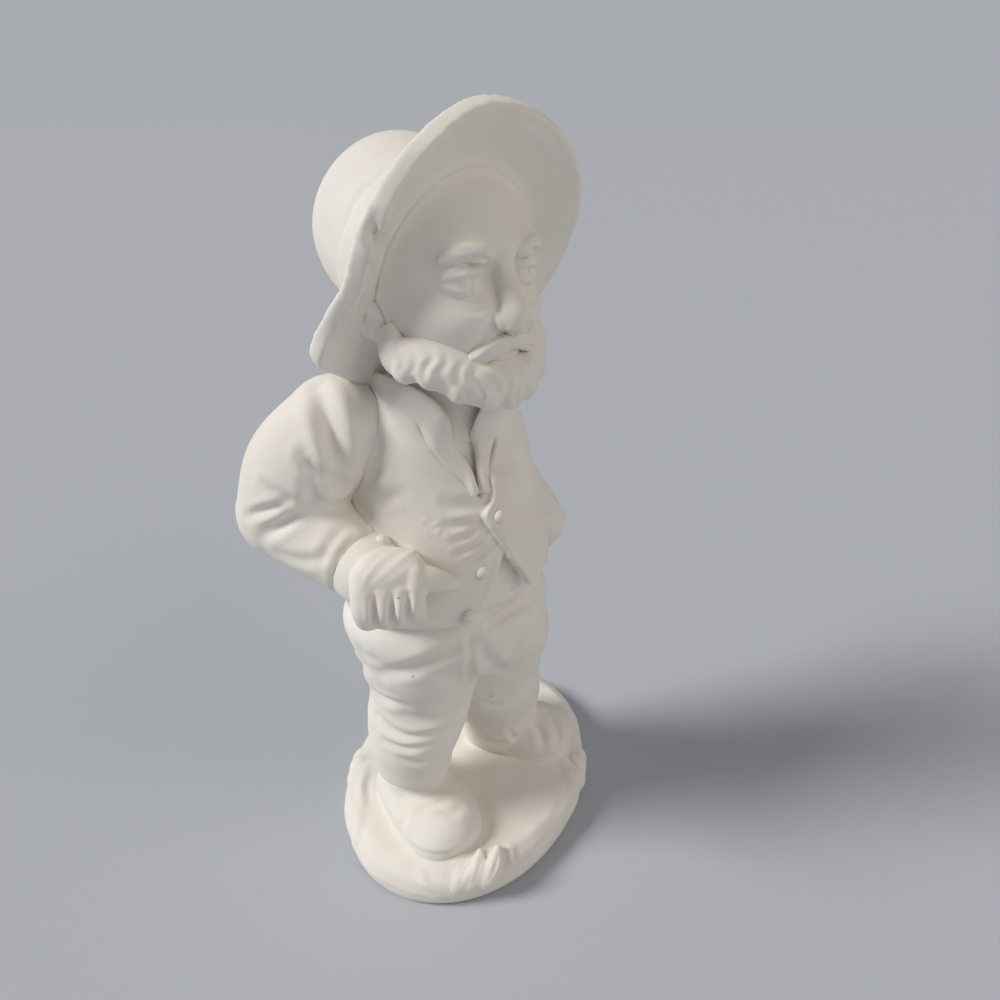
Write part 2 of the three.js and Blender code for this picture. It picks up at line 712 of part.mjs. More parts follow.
// Brim: a ring bent to the reach and drop given at sixteen places, front first and then to the left
function brimForm(grow) {
  const rim = new THREE.CatmullRomCurve3(
    brimReach.map((reach, k) => new THREE.Vector3(reach, brimDrop[k], 0)),
    true,
    "catmullrom",
    0.5,
  );
  const shape = welded(new THREE.TorusGeometry(1, 0.4, 8, 32));
  const place = shape.attributes.position;
  const inner = crownWidth / 2 - 4;
  for (let i = 0; i < place.count; i += 1) {
    const round = Math.atan2(place.getX(i), -place.getY(i));
    const outward = (Math.hypot(place.getX(i), place.getY(i)) - 1) / 0.4;
    const lift = place.getZ(i) / 0.4;
    const rimPoint = rim.getPoint(((round / (2 * Math.PI)) + 1) % 1);
    const step = THREE.MathUtils.clamp((outward + 1) / 2, 0, 1);
    const radius = inner + (rimPoint.x - inner) * step + outward * grow;
    const thick = Math.sign(lift) * Math.abs(lift) ** 0.4 * (brimThickness / 2 + grow);
    const height = thick - rimPoint.y * step ** 1.6 + 1;
    place.setXYZ(i, radius * Math.sin(round), -radius * Math.cos(round), height);
  }
  return solidOf(shape);
}
addPiece("hat_brim", atHat(brimForm(0)), atHat(brimForm(seam)));

// Band round the foot of the crown
function ringForm(radius, low, high, grow) {
  const profile = [
    [radius - 6, low - grow],
    [radius + grow, low - grow],
    [radius + grow, high + grow],
    [radius - 6, high + grow],
    [radius - 6, low - grow],
  ];
  return solidOf(turned(profile, 22));
}
const bandRadius = crownWidth / 2 + 1.3;
addPiece("hat_band", atHat(ringForm(bandRadius, 3, 10, 0)), atHat(ringForm(bandRadius, 3, 10, seam)));

// Ears
for (const [name, x] of [["right_ear", -1], ["left_ear", 1]]) {
  const turn = [-8, x * 8, x * -14];
  const form = (grow) => atHead(blob([x * headWidth * 0.48, 3, -8], [3, 4.2, 6], { grow, fine: 12, turn }));
  addPiece(name, form(0), form(seam));
}

// Beard: a fringe along the jaw from ear to ear
function fringe(points, grow) {
  return atHead(loft(points, { grow, sides: 8, rows: 12, side: [0, 0, 1] }));
}
function beardForm(grow) {
  const half = headWidth / 2;
  const deep = headDepth / 2;
  const chin = -chinDrop + 1;
  return fringe(
    [
      [-half * 0.93, -1, -9, 3.5, 2.2],
      [-half * 0.92, -5, -15, 5, 3.4],
      [-half * 0.72, -deep * 0.55, chin + 6, 5.6, 4.4],
      [-half * 0.38, -deep * 0.8, chin + 1.5, 5.8, 5],
      [0, -deep * 0.88, chin, 6, 5.2],
      [half * 0.38, -deep * 0.8, chin + 1.5, 5.8, 5],
      [half * 0.72, -deep * 0.55, chin + 6, 5.6, 4.4],
      [half * 0.92, -5, -15, 5, 3.4],
      [half * 0.93, -1, -9, 3.5, 2.2],
    ],
    grow,
  );
}
addPiece("beard", beardForm(0), beardForm(seam));

// Moustache
function moustacheForm(grow) {
  const deep = headDepth / 2;
  return fringe(
    [
      [-10.5, -deep * 0.78, -16.6, 1, 1],
      [-6.5, -deep * 0.92, -13.6, 1.8, 2],
      [0, -deep, -11.6, 1.8, 2],
      [6.5, -deep * 0.92, -13.6, 1.8, 2],
      [10.5, -deep * 0.78, -16.6, 1, 1],
    ],
    grow,
  );
}
addPiece("moustache", moustacheForm(0), moustacheForm(seam));

// Hair round the back of the head, under the brim
function hairForm(grow) {
  const half = headWidth / 2;
  const deep = headDepth / 2;
  const nape = 13.5 - crownWidth / 2 - hatSeat / 2;
  return fringe(
    [
      [-half * 0.98, 7, nape + 2, 4, 2.4],
      [-half * 0.82, deep * 0.55, nape, 5, 3],
      [-half * 0.4, deep * 0.86, nape - 2, 5.5, 3.2],
      [half * 0.4, deep * 0.86, nape - 2, 5.5, 3.2],
      [half * 0.82, deep * 0.55, nape, 5, 3],
      [half * 0.98, 7, nape + 2, 4, 2.4],
    ],
    grow,
  );
}
addPiece("hair", hairForm(0), hairForm(seam));

// Grass: thick blades side by side on the rim of the mound, leaning outwards
function tuftForm(turn, heights, grow) {
  const out = turn * degrees;
  const rim = (reach, across) => {
    const x = Math.sin(out) * (baseLength / 2) * reach + Math.cos(out) * across;
    const y = -Math.cos(out) * (baseDepth / 2) * reach + Math.sin(out) * across;
    const spot = new THREE.Vector2(x, y).rotateAround(new THREE.Vector2(0, 0), baseTurn * degrees);
    return [spot.x, spot.y];
  };
  const level = Math.atan2(baseDepth * Math.sin(out), baseLength * Math.cos(out)) + baseTurn * degrees;
  const spread = (heights.length * bladeSpacing) / 2;
  const root = blob([...rim(0.97, 0), baseHeight * 0.45], [spread, bladeWidth * 0.45, bladeWidth * 0.85], {
    grow,
    fine: 8,
    turn: [0, 0, level / degrees],
  });
  const blades = heights.map((share, k) => {
    const across = (k - (heights.length - 1) / 2) * bladeSpacing;
    const tall = tuftHeight * share;
    return loft(
      [
        [...rim(0.97, across * 0.85), baseHeight * 0.2, bladeWidth * 0.4, bladeWidth * 0.3],
        [...rim(0.985, across), baseHeight * 0.2 + tall * 0.4, bladeWidth * 0.5, bladeWidth * 0.32],
        [...rim(0.94, across * 1.1), baseHeight * 0.2 + tall * 0.8, bladeWidth * 0.4, bladeWidth * 0.3],
        [...rim(0.87, across * 1.2 + 1), baseHeight * 0.2 + tall, bladeWidth * 0.14, bladeWidth * 0.16],
      ],
      { grow, sides: 7, rows: 5, side: [Math.cos(level), Math.sin(level), 0] },
    );
  });
  return joinedUp([root, ...blades]);
}
const tufts = [
  ["front_tuft", -57, [0.85, 1.05, 0.95, 1.1]],
  ["side_tuft", 13, [0.9, 1.1, 0.95]],
  ["back_tuft", -162, [0.9, 1.2, 1]],
];
for (const [name, turn, heights] of tufts) {
  addPiece(name, tuftForm(turn, heights, 0), tuftForm(turn, heights, seam));
}

const bisque = new THREE.MeshStandardMaterial({ color: 0xf2ede4, roughness: 0.85, metalness: 0 });
const group = new THREE.Group();
group.name = "ceramic_figurine";
for (const { name, solid } of pieces) {
  const drawn = solid.getMesh();
  const shape = new THREE.BufferGeometry();
  shape.setAttribute("position", new THREE.BufferAttribute(new Float32Array(drawn.vertProperties), 3));
  shape.setIndex(new THREE.BufferAttribute(new Uint32Array(drawn.triVerts), 1));
  shape.computeVertexNormals();
  const mesh = new THREE.Mesh(shape, bisque);
  mesh.name = name;
  group.add(mesh);
}

export default group;
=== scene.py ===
import bmesh
import bpy
import math
import numpy as np
from mathutils import Euler, Matrix, Vector, noise
from mathutils.bvhtree import BVHTree
from mathutils.kdtree import KDTree


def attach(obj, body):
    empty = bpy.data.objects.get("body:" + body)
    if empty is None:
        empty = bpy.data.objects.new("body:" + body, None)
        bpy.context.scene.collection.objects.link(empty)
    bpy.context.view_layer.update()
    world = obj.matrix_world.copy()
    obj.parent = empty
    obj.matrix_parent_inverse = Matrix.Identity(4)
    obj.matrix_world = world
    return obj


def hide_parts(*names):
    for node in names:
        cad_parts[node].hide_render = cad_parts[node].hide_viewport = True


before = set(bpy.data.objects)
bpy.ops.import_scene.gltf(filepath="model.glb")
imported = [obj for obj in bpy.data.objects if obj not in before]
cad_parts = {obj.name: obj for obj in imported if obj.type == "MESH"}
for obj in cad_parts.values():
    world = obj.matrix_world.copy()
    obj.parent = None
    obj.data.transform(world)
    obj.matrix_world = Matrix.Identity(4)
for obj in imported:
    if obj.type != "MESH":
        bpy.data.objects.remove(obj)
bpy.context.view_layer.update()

# Viewpoint
# The camera is a hand's reach from the hat, in front of the figure and to its right, looking down.
# Lines seen in the picture are given in pixels of a square picture 1000 pixels wide, and the rest in mm.
millimetre = 0.001
view_place = Vector((-98.0, -178.2, 219.0))
view_turn = math.radians(32.0)
view_dip = math.radians(27.0)
view_focus = 755.0
picture_middle = 500.0
view_right = Vector((math.cos(view_turn), -math.sin(view_turn), 0.0))
view_ahead = Vector((
    math.sin(view_turn) * math.cos(view_dip),
    math.cos(view_turn) * math.cos(view_dip),
    -math.sin(view_dip),
))
view_up = view_right.cross(view_ahead)

lens = bpy.data.cameras.new("camera")
lens.sensor_width = 36.0
lens.lens = view_focus * lens.sensor_width / (2 * picture_middle)
lens.clip_start = 0.01


def placed(name, data):
    """A new object, set in the scene."""
    thing = bpy.data.objects.new(name, data)
    bpy.context.scene.collection.objects.link(thing)
    return thing


camera = placed("camera", lens)
camera.matrix_world = Matrix((
    (view_right.x, view_up.x, -view_ahead.x, view_place.x * millimetre),
    (view_right.y, view_up.y, -view_ahead.y, view_place.y * millimetre),
    (view_right.z, view_up.z, -view_ahead.z, view_place.z * millimetre),
    (0.0, 0.0, 0.0, 1.0),
))
bpy.context.scene.camera = camera

# Mound
# A hollow oval casting with a flat foot, rolled over at the rim like trodden turf.
# White earthenware fired once and left unglazed: matt, faintly uneven, with a few pinholes from the slip.
# It carries the figure, and has a round drain hole in its floor from casting.
base_length = 108.0
base_depth = 82.4
base_height = 14.0
base_turn = 37.0
drain_width = 8.0
drain_depth = 6.0
drain_place = Vector((0.0, base_depth * 0.27, 0.0))
mound_profile = [
    (0.0, 0.0), (0.93, 0.0), (0.965, 0.03), (0.985, 0.14), (1.0, 0.4),
    (0.975, 0.68), (0.9, 0.87), (0.62, 0.97), (0.3, 1.0), (0.0, 1.0),
]
turf_waves = [(0.045, 0.9), (0.13, 0.4)]
rim_blades = [
    ([(566, 716), (573, 738), (576, 762)], 1.3, -0.8),
    ([(554, 752), (566, 766), (572, 790)], 1.2, -0.6),
    ([(574, 770), (572, 792), (560, 818)], 1.2, -0.6),
    ([(352, 800), (358, 824), (353, 846)], 1.4, -0.7),
    ([(366, 768), (361, 790), (364, 814)], 1.3, -0.8),
    ([(420, 872), (426, 884), (440, 894)], 1.2, -0.5),
    ([(510, 846), (512, 858), (506, 872)], 1.2, -0.5),
]

bisque = bpy.data.materials.new("bisque")
bisque.use_nodes = True
tree = bisque.node_tree
shader = tree.nodes["Principled BSDF"]
shader.inputs["Specular IOR Level"].default_value = 0.28


def add_node(kind, feeds=(), **settings):
    """A node with its settings, fed by the sockets of other nodes."""
    node = tree.nodes.new(kind)
    for key, value in settings.items():
        if key in node.inputs:
            node.inputs[key].default_value = value
        else:
            setattr(node, key, value)
    feed(node, feeds)
    return node


def feed(node, feeds):
    for slot, source, socket in feeds:
        tree.links.new(source.outputs[socket], node.inputs[slot])


on_piece = [("Vector", add_node("ShaderNodeTexCoord"), "Object")]
cloud = add_node("ShaderNodeTexNoise", on_piece, Scale=38.0, Detail=4.0, Roughness=0.6)
tone = add_node("ShaderNodeValToRGB", [("Fac", cloud, "Fac")])
tone.color_ramp.elements[0].position = 0.32
tone.color_ramp.elements[0].color = (0.815, 0.775, 0.705, 1)
tone.color_ramp.elements[1].position = 0.68
tone.color_ramp.elements[1].color = (0.875, 0.845, 0.79, 1)

# Painted shade: a per-point crease attribute darkens and warms the creases, where shade falls.
crease_shade = add_node("ShaderNodeAttribute", attribute_name="crease_shade")
crease_shaded = add_node(
    "ShaderNodeMix", [("Factor", crease_shade, "Fac"), ("A", tone, "Color")], data_type="RGBA", blend_type="MULTIPLY"
)
crease_shaded.inputs["B"].default_value = (0.86, 0.77, 0.64, 1)

cells = add_node("ShaderNodeTexVoronoi", on_piece, Scale=105.0, Randomness=1.0)
pinhole = add_node("ShaderNodeMapRange", [("Value", cells, "Distance")], **{
    "From Min": 0.022, "From Max": 0.05, "To Min": 1.0, "To Max": 0.0,
})
scatter = add_node("ShaderNodeTexNoise", on_piece, Scale=70.0, Detail=1.0)
sparse = add_node("ShaderNodeMath", [(0, scatter, "Fac")], operation="GREATER_THAN")
sparse.inputs[1].default_value = 0.56
pits = add_node("ShaderNodeMath", [(0, pinhole, "Result"), (1, sparse, "Value")], operation="MULTIPLY")
# Painted shade: the pinholes are coloured dark brown for the shade inside them; the bump below also dents them.
pit_shaded = add_node("ShaderNodeMix", [("Factor", pits, "Value"), ("A", crease_shaded, "Result")], data_type="RGBA")
pit_shaded.inputs["B"].default_value = (0.27, 0.2, 0.14, 1)

grain = add_node("ShaderNodeTexNoise", on_piece, Scale=1500.0, Detail=3.0, Roughness=0.65)
rough = add_node("ShaderNodeMapRange", [("Value", grain, "Fac")], **{"To Min": 0.7, "To Max": 0.92})
uneven = add_node("ShaderNodeTexNoise", on_piece, Scale=230.0, Detail=2.0)
relief = add_node("ShaderNodeMath", [(0, grain, "Fac"), (2, uneven, "Fac")], operation="MULTIPLY_ADD")
relief.inputs[1].default_value = 0.35
sunk = add_node("ShaderNodeMath", [(0, relief, "Value"), (1, pits, "Value")], operation="SUBTRACT")
bump = add_node("ShaderNodeBump", [("Height", sunk, "Value")], Strength=0.35, Distance=0.0003)
feed(shader, [("Base Color", pit_shaded, "Result"), ("Roughness", rough, "Result"), ("Normal", bump, "Normal")])


def smooth_line(stops, count):
    """Even steps along a soft line through the stops."""
    given = np.array([tuple(stop) for stop in stops], float)
    ends = np.vstack([2 * given[0] - given[1], given, 2 * given[-1] - given[-2]])
    steps = np.linspace(0, len(given) - 1, count)
    k = np.minimum(steps.astype(int), len(given) - 2)
    t = (steps - k)[:, None]
    a, b, c, d = ends[k], ends[k + 1], ends[k + 2], ends[k + 3]
    return 0.5 * (2 * b + (c - a) * t + (2 * a - 5 * b + 4 * c - d) * t**2 + (3 * b - a - 3 * c + d) * t**3)


def meshed(clay, name):
    """The mesh of a drawn form, which is used up."""
    mesh = bpy.data.meshes.new(name)
    clay.to_mesh(mesh)
    clay.free()
    return mesh


def skinned(clay, voxel):
    """One closed skin round all the drawn forms."""
    drawn = meshed(clay, "drawn")
    mould = placed("mould", drawn)
    slip = mould.modifiers.new("slip", "REMESH")
    slip.mode = "VOXEL"
    slip.voxel_size = voxel
    seen = mould.evaluated_get(bpy.context.evaluated_depsgraph_get())
    cast = bpy.data.meshes.new_from_object(seen)
    bpy.data.objects.remove(mould)
    bpy.data.meshes.remove(drawn)
    return cast


def pour(clay, voxel, rounds):
    """Joins the drawn forms into one casting and softens it."""
    bmesh.ops.recalc_face_normals(clay, faces=clay.faces)
    cast = skinned(clay, voxel)
    soften(cast, rounds)
    return cast


def soften(cast, rounds):
    """Rubs a surface with a wet sponge."""
    clay = bmesh.new()
    clay.from_mesh(cast)
    for _ in range(rounds):
        bmesh.ops.smooth_vert(
            clay, verts=clay.verts, factor=0.5, use_axis_x=True, use_axis_y=True, use_axis_z=True
        )
    clay.to_mesh(cast)
    clay.free()


def points_of(cast):
    """Where the points of a casting are, and which way is out at each."""
    spots = np.empty(len(cast.vertices) * 3, np.float32)
    cast.vertices.foreach_get("co", spots)
    outward = np.empty_like(spots)
    cast.vertex_normals.foreach_get("vector", outward)
    return spots.reshape(-1, 3).astype(float), outward.reshape(-1, 3).astype(float)


def move_points(cast, spots):
    cast.vertices.foreach_set("co", spots.astype(np.float32).ravel())
    cast.update()


def surface_of(cast):
    clay = bmesh.new()
    clay.from_mesh(cast)
    skin = BVHTree.FromBMesh(clay)
    clay.free()
    return skin


steps_between_stops = 14


def seen_on(skin, pixels):
    """The line on a surface that the camera sees at these pixels."""
    line = []
    for across, down in smooth_line(pixels, steps_between_stops * (len(pixels) - 1)):
        aim = view_ahead + view_right * ((across - picture_middle) / view_focus)
        aim = (aim + view_up * ((picture_middle - down) / view_focus)).normalized()
        spot, _, _, _ = skin.ray_cast(view_place, aim)
        if spot is not None:
            line.append(spot)
    return line


roll_place = 2.1
roll_share = 0.4


def tool(cast, lines, follow):
    """Works lines into a surface: a groove where the depth is above 0, a roll where it is below."""
    skin = surface_of(cast)
    spots, outward = points_of(cast)
    shift = np.zeros(len(spots))
    for given, width, depth in lines:
        line = follow(skin, given)
        if len(line) < 2:
            continue
        stops = np.array([tuple(stop) for stop in line])
        length = np.linalg.norm(np.diff(stops, axis=0), axis=1).sum()
        steps = smooth_line(stops, max(10, int(length / (width * 0.4))))
        low, high = steps.min(0) - 4 * width, steps.max(0) + 4 * width
        near = np.where(((spots > low) & (spots < high)).all(1))[0]
        if not len(near):
            continue
        gaps = np.linalg.norm(spots[near][:, None, :] - steps[None, :, :], axis=2)
        best = gaps.argmin(1)
        gap = gaps[np.arange(len(near)), best]
        fade = np.sin(np.pi * np.clip((best + 0.5) / len(steps), 0.05, 0.95)) ** 0.6
        groove = np.exp(-((gap / width) ** 2))
        rolls = np.exp(-(((gap - roll_place * width) / width) ** 2))
        shift[near] -= depth * fade * (groove - roll_share * rolls)
    move_points(cast, spots + outward * shift[:, None])


fired = {}
seams = []


def fire(node, cast, onto=()):
    """Sets a finished casting in place of its CAD node, and notes what it is luted to."""
    cast.polygons.foreach_set("use_smooth", np.ones(len(cast.polygons), bool))
    cast.materials.clear()
    cast.materials.append(bisque)
    piece = placed(node + "_fired", cast)
    cast.name = piece.name
    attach(piece, "root")
    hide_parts(node)
    fired[node] = cast
    seams.extend((node, neighbour, reach) for neighbour, reach in onto)


def thrown(outline, closed=False):
    """An outline in X and Z turned once round the upright axis, as on a wheel."""
    clay = bmesh.new()
    stops = [clay.verts.new((reach, 0.0, rise)) for reach, rise in outline]
    line = [clay.edges.new(pair) for pair in zip(stops, stops[1:] + stops[:closed])]
    bmesh.ops.spin(
        clay, geom=stops + line, cent=(0, 0, 0), axis=(0, 0, 1), angle=2 * math.pi, steps=96, use_merge=True
    )
    bmesh.ops.remove_doubles(clay, verts=clay.verts, dist=1e-4)
    return clay


clay = thrown([(reach, rise * base_height) for reach, rise in mound_profile])
bmesh.ops.scale(clay, vec=(base_length / 2, base_depth / 2, 1), verts=clay.verts)
bmesh.ops.rotate(clay, cent=(0, 0, 0), matrix=Matrix.Rotation(math.radians(base_turn), 3, "Z"), verts=clay.verts)
mound = pour(clay, voxel=0.7, rounds=6)
spots, outward = points_of(mound)
level = np.clip((spots[:, 2] - 1.5) / 3.0, 0, 1)
rough_turf = np.array([
    sum(height * noise.noise(Vector(spot * pitch)) for pitch, height in turf_waves) for spot in spots
])
move_points(mound, spots + outward * (rough_turf * level)[:, None])
tool(mound, rim_blades, seen_on)
clay = bmesh.new()
clay.from_mesh(mound)
for vert in clay.verts:
    reach = (vert.co.xy - drain_place.xy).length
    if vert.co.z < 2 and reach < drain_width / 2 + 0.6:
        vert.co.z += drain_depth * min(1.0, max(0.0, (drain_width / 2 + 0.4 - reach) / 0.8))
clay.to_mesh(mound)
clay.free()
fire("base_mound", mound)

# Boots
# Two soft blunt-toed boots, each a solid casting stuck to the mound by its sole.
# The right one points forward and the left one is turned out; the shafts go up into the trousers.
boot_length = 38.0
boot_width = 26.0
boot_height = 36.0
right_ankle = (-25.2, -8.2)
left_ankle = (14.5, 3.5)
right_toe_out = 6.0
left_toe_out = 46.0
sole_rise = base_height + 1.6
right_boot_lines = [
    ([(402, 790), (419, 792), (434, 786)], 1.0, 0.7),
    ([(420, 808), (433, 806), (446, 800)], 1.0, 0.6),
    ([(396, 806), (404, 816), (402, 830)], 1.3, 0.5),
    ([(440, 812), (452, 814), (462, 808)], 1.2, 0.4),
]
left_boot_lines = [
    ([(533, 720), (541, 734), (544, 748)], 1.4, 1.1),
    ([(548, 712), (557, 728), (559, 745)], 1.4, 1.0),
]


def laid_on(skin, stops):
    """The line on a surface that is nearest to these points."""
    steps = smooth_line(stops, steps_between_stops * (len(stops) - 1))
    return [skin.find_nearest(Vector(step))[0] for step in steps]


def hoop(clay, sides, radius, seat):
    """The points and edges of a new ring."""
    verts = bmesh.ops.create_circle(clay, segments=sides, radius=radius, matrix=seat)["verts"]
    return verts, list(dict.fromkeys(edge for vert in verts for edge in vert.link_edges))


def pull(clay, edges):
    """The points and edges of the next ring, pulled out of this one."""
    pulled = bmesh.ops.extrude_edge_only(clay, edges=edges)["geom"]
    verts = [part for part in pulled if isinstance(part, bmesh.types.BMVert)]
    new = set(verts)
    return verts, [part for part in pulled if isinstance(part, bmesh.types.BMEdge) and set(part.verts) <= new]


def draw(clay, ovals, rows=44, sides=56, level=False, side=(1, 0, 0)):
    """Rings [x, y, z, half width, half depth] drawn out one from the next into a closed form."""
    line = smooth_line(ovals, rows)
    paths = np.gradient(line[:, :3], axis=0)
    for k, (x, y, z, half_width, half_depth) in enumerate(line):
        along = Vector((0, 0, 1)) if level else Vector(paths[k]).normalized()
        across = (Vector(side) - along * Vector(side).dot(along)).normalized()
        front = across.cross(along)
        wide = across * max(half_width, 0.15)
        deep = front * max(half_depth, 0.15)
        ring = Matrix((
            (wide.x, deep.x, along.x, x), (wide.y, deep.y, along.y, y), (wide.z, deep.z, along.z, z), (0, 0, 0, 1),
        ))
        if k == 0:
            verts, edges = hoop(clay, sides, 1.0, ring)
            bmesh.ops.holes_fill(clay, edges=edges)
        else:
            verts, edges = pull(clay, edges)
            bmesh.ops.transform(clay, matrix=ring @ before.inverted(), verts=verts)
        before = ring
    bmesh.ops.holes_fill(clay, edges=edges)


def boot(ankle, toe_out):
    half = boot_width / 2
    instep = boot_width * 0.365
    clay = bmesh.new()
    draw(clay, [
        (0, boot_length * 0.3, base_height + 3, half * 0.4, instep * 0.42),
        (0, boot_length * 0.26, base_height + 3.5, half * 0.75, instep * 0.84),
        (0, boot_length * 0.05, base_height + 3.5, half * 0.9, instep),
        (0, -boot_length * 0.3, base_height + 1.5, half, instep),
        (0, -boot_length * 0.52, base_height + 0.5, half * 0.93, instep * 0.9),
        (0, -boot_length * 0.65, base_height - 0.8, half * 0.68, instep * 0.68),
        (0, -boot_length * 0.7, base_height - 1.6, half * 0.3, instep * 0.32),
    ])
    draw(clay, [
        (0, 0, base_height - 4, half * 0.86, half * 0.9),
        (0, 0, base_height + 8, half * 0.78, half * 0.82),
        (0, 0, boot_height, half * 0.66, half * 0.7),
    ], level=True)
    bmesh.ops.rotate(
        clay, cent=(0, 0, 0), matrix=Matrix.Rotation(math.radians(toe_out), 3, "Z"), verts=clay.verts
    )
    bmesh.ops.translate(clay, vec=(ankle[0], ankle[1], 0), verts=clay.verts)
    return pour(clay, voxel=0.55, rounds=12)


for node, ankle, toe_out, lines in [
    ("right_boot", right_ankle, right_toe_out, right_boot_lines),
    ("left_boot", left_ankle, left_toe_out, left_boot_lines),
]:
    cast = boot(ankle, toe_out)
    welt = []
    for step in range(25):
        round_toe = math.radians(-100 + step * 200 / 24)
        x = math.sin(round_toe) * boot_width * 0.55
        y = -boot_length * 0.3 - math.cos(round_toe) * boot_length * 0.42
        spot = Matrix.Rotation(math.radians(toe_out), 2) @ Vector((x, y))
        welt.append((ankle[0] + spot.x, ankle[1] + spot.y, sole_rise))
    tool(cast, lines, seen_on)
    tool(cast, [(welt, 0.8, 0.5)], laid_on)
    soften(cast, rounds=2)
    fire(node, cast, [("base_mound", 2.6)])

# Trousers
# Baggy trousers, one hollow casting with the hips and both legs, bunched over the boots.
# The folds were modelled in the clay: from the crotch, behind the knees and round the hems.
hip_width = 65.0
hip_depth = 51.0
hip_height = 84.0
waist_height = 105.0
tuck_depth = 10.0
leg_width = 32.0
right_hem = 30.0
left_hem = 15.5
right_hem_width = 25.4
left_hem_width = 28.4
right_knee = (-19.0, -5.5)
left_knee = (8.6, -1.4)
body_x = -9.2
body_y = -5.8
waist_half = (28.63, 21.7)
leg_folds = [
    ([(470, 638), (470, 660), (470, 692)], 1.1, 0.9),
    ([(383, 674), (415, 667), (447, 655), (469, 642)], 2.0, 1.2),
    ([(374, 691), (386, 700), (406, 706)], 1.7, 1.1),
    ([(402, 712), (430, 719), (462, 708)], 1.6, 0.5),
    ([(378, 716), (394, 731), (416, 738), (448, 731), (462, 724)], 1.3, 1.2),
    ([(384, 741), (408, 748), (436, 743), (452, 738)], 1.1, 1.0),
    ([(402, 759), (422, 763), (446, 755)], 1.1, 0.8),
    ([(356, 640), (366, 656), (384, 664)], 2.0, 0.5),
    ([(474, 640), (488, 660), (506, 670), (538, 654)], 1.9, 1.3),
    ([(486, 674), (500, 679), (523, 674)], 1.0, 0.9),
    ([(538, 672), (535, 702), (524, 722), (514, 733)], 1.4, 1.0),
    ([(480, 700), (494, 706), (514, 702)], 1.4, 0.6),
    ([(474, 722), (490, 728), (506, 724)], 1.3, 0.6),
    ([(508, 730), (516, 738), (532, 724)], 1.0, 0.9),
    ([(478, 738), (496, 744), (514, 740)], 1.1, 0.6),
]
waist_folds = [
    ([(480, 606), (500, 594), (524, 580)], 0.9, 1.1),
    ([(484, 616), (506, 603), (528, 588)], 0.9, 1.1),
    ([(488, 626), (512, 612), (534, 600)], 1.0, 1.0),
    ([(496, 634), (516, 624), (536, 614)], 1.1, 0.7),
]
back_folds = [
    ([(-30, 18, 78), (-9, 22, 70), (14, 18, 78)], 2.2, 1.2),
    ([(-9, 20, 92), (-9, 19, 78), (-8, 10, 60)], 1.3, 1.4),
    ([(-36, 10, 60), (-22, 14, 54), (-10, 10, 60)], 1.9, 1.1),
    ([(24, 12, 58), (10, 16, 52), (-2, 10, 58)], 1.9, 1.1),
    ([(-40, 2, 48), (-24, 12, 43), (-12, 4, 47)], 1.5, 1.2),
    ([(28, 6, 42), (12, 18, 37), (-2, 6, 42)], 1.5, 1.2),
    ([(-39, -4, 38), (-24, 8, 36), (-13, -2, 40)], 1.3, 1.0),
    ([(26, 4, 32), (12, 17, 29), (-1, 6, 33)], 1.3, 1.0),
    ([(-42, -8, 74), (-40, 4, 66), (-32, 12, 60)], 2.0, 0.9),
    ([(26, -10, 76), (26, 2, 66), (20, 14, 58)], 2.0, 0.9),
    ([(27, -14, 66), (25, -10, 58), (24, 0, 50)], 1.8, 0.8),
]

clay = bmesh.new()
middle = waist_height - tuck_depth
draw(clay, [
    (body_x + 1, body_y, hip_height - 20, hip_width * 0.28, hip_depth * 0.25),
    (body_x + 0.5, body_y, hip_height - 10, hip_width * 0.44, hip_depth * 0.43),
    (body_x, body_y, hip_height, hip_width * 0.495, hip_depth * 0.5),
    (body_x, body_y, (hip_height + middle) / 2, hip_width * 0.495, hip_depth * 0.49),
    (body_x, body_y - 1, middle, waist_half[0], waist_half[1]),
    (body_x, body_y - 1, waist_height, waist_half[0] - 1, waist_half[1] - 1),
], level=True, sides=96)
half = leg_width / 2
for ankle, knee, hem, hem_width, hip_x in [
    (right_ankle, right_knee, right_hem, right_hem_width, body_x - hip_width * 0.2),
    (left_ankle, left_knee, left_hem, left_hem_width, body_x + hip_width * 0.2),
]:
    bend = (hem + hip_height) / 2 + 3
    shin = [Vector(knee).lerp(Vector(ankle), share) for share in (0.4, 0.8)]
    draw(clay, [
        (hip_x, body_y, hip_height + 4, half, half * 1.3),
        ((hip_x + knee[0]) / 2, body_y + 0.5, hip_height - 11, half * 1.12, half * 1.36),
        (*knee, bend, half * 1.05, half * 1.05),
        (*shin[0], hem + (bend - hem) * 0.65, half * 1.02, half),
        (*shin[1], hem + (bend - hem) * 0.37, half * 0.92, half * 0.9),
        (*ankle, hem + 5, hem_width * 0.505, hem_width * 0.515),
        (*ankle, hem, hem_width * 0.49, hem_width * 0.51),
    ], level=True)
trousers = pour(clay, voxel=0.6, rounds=12)
tool(trousers, leg_folds + waist_folds, seen_on)
tool(trousers, back_folds, laid_on)
soften(trousers, rounds=2)
fire("trousers", trousers, [("right_boot", 1.3), ("left_boot", 1.3)])

# Torso, waistband and neck
# The body under the jacket: a hollow casting that shows as the shirt in the neck opening,
# with a band pressed round the top of the trousers and a short stub of neck to carry the head.
jacket_hem = 95.0
belly_width = 62.0
belly_depth = 50.0
chest_width = 53.0
chest_depth = 42.0
chest_height = 132.0
shoulder_height = 150.0
jacket_thickness = 3.0
band_height = 7.0
neck_width = 27.0
head_centre = Vector((-8.2, -10.8, 184.0))
chin_drop = 23.0
neck_top = head_centre.z - chin_drop + 14
shirt_folds = [
    ([(448, 430), (462, 452), (474, 474)], 0.9, 0.3),
    ([(466, 426), (472, 448), (478, 472)], 0.9, 0.3),
]


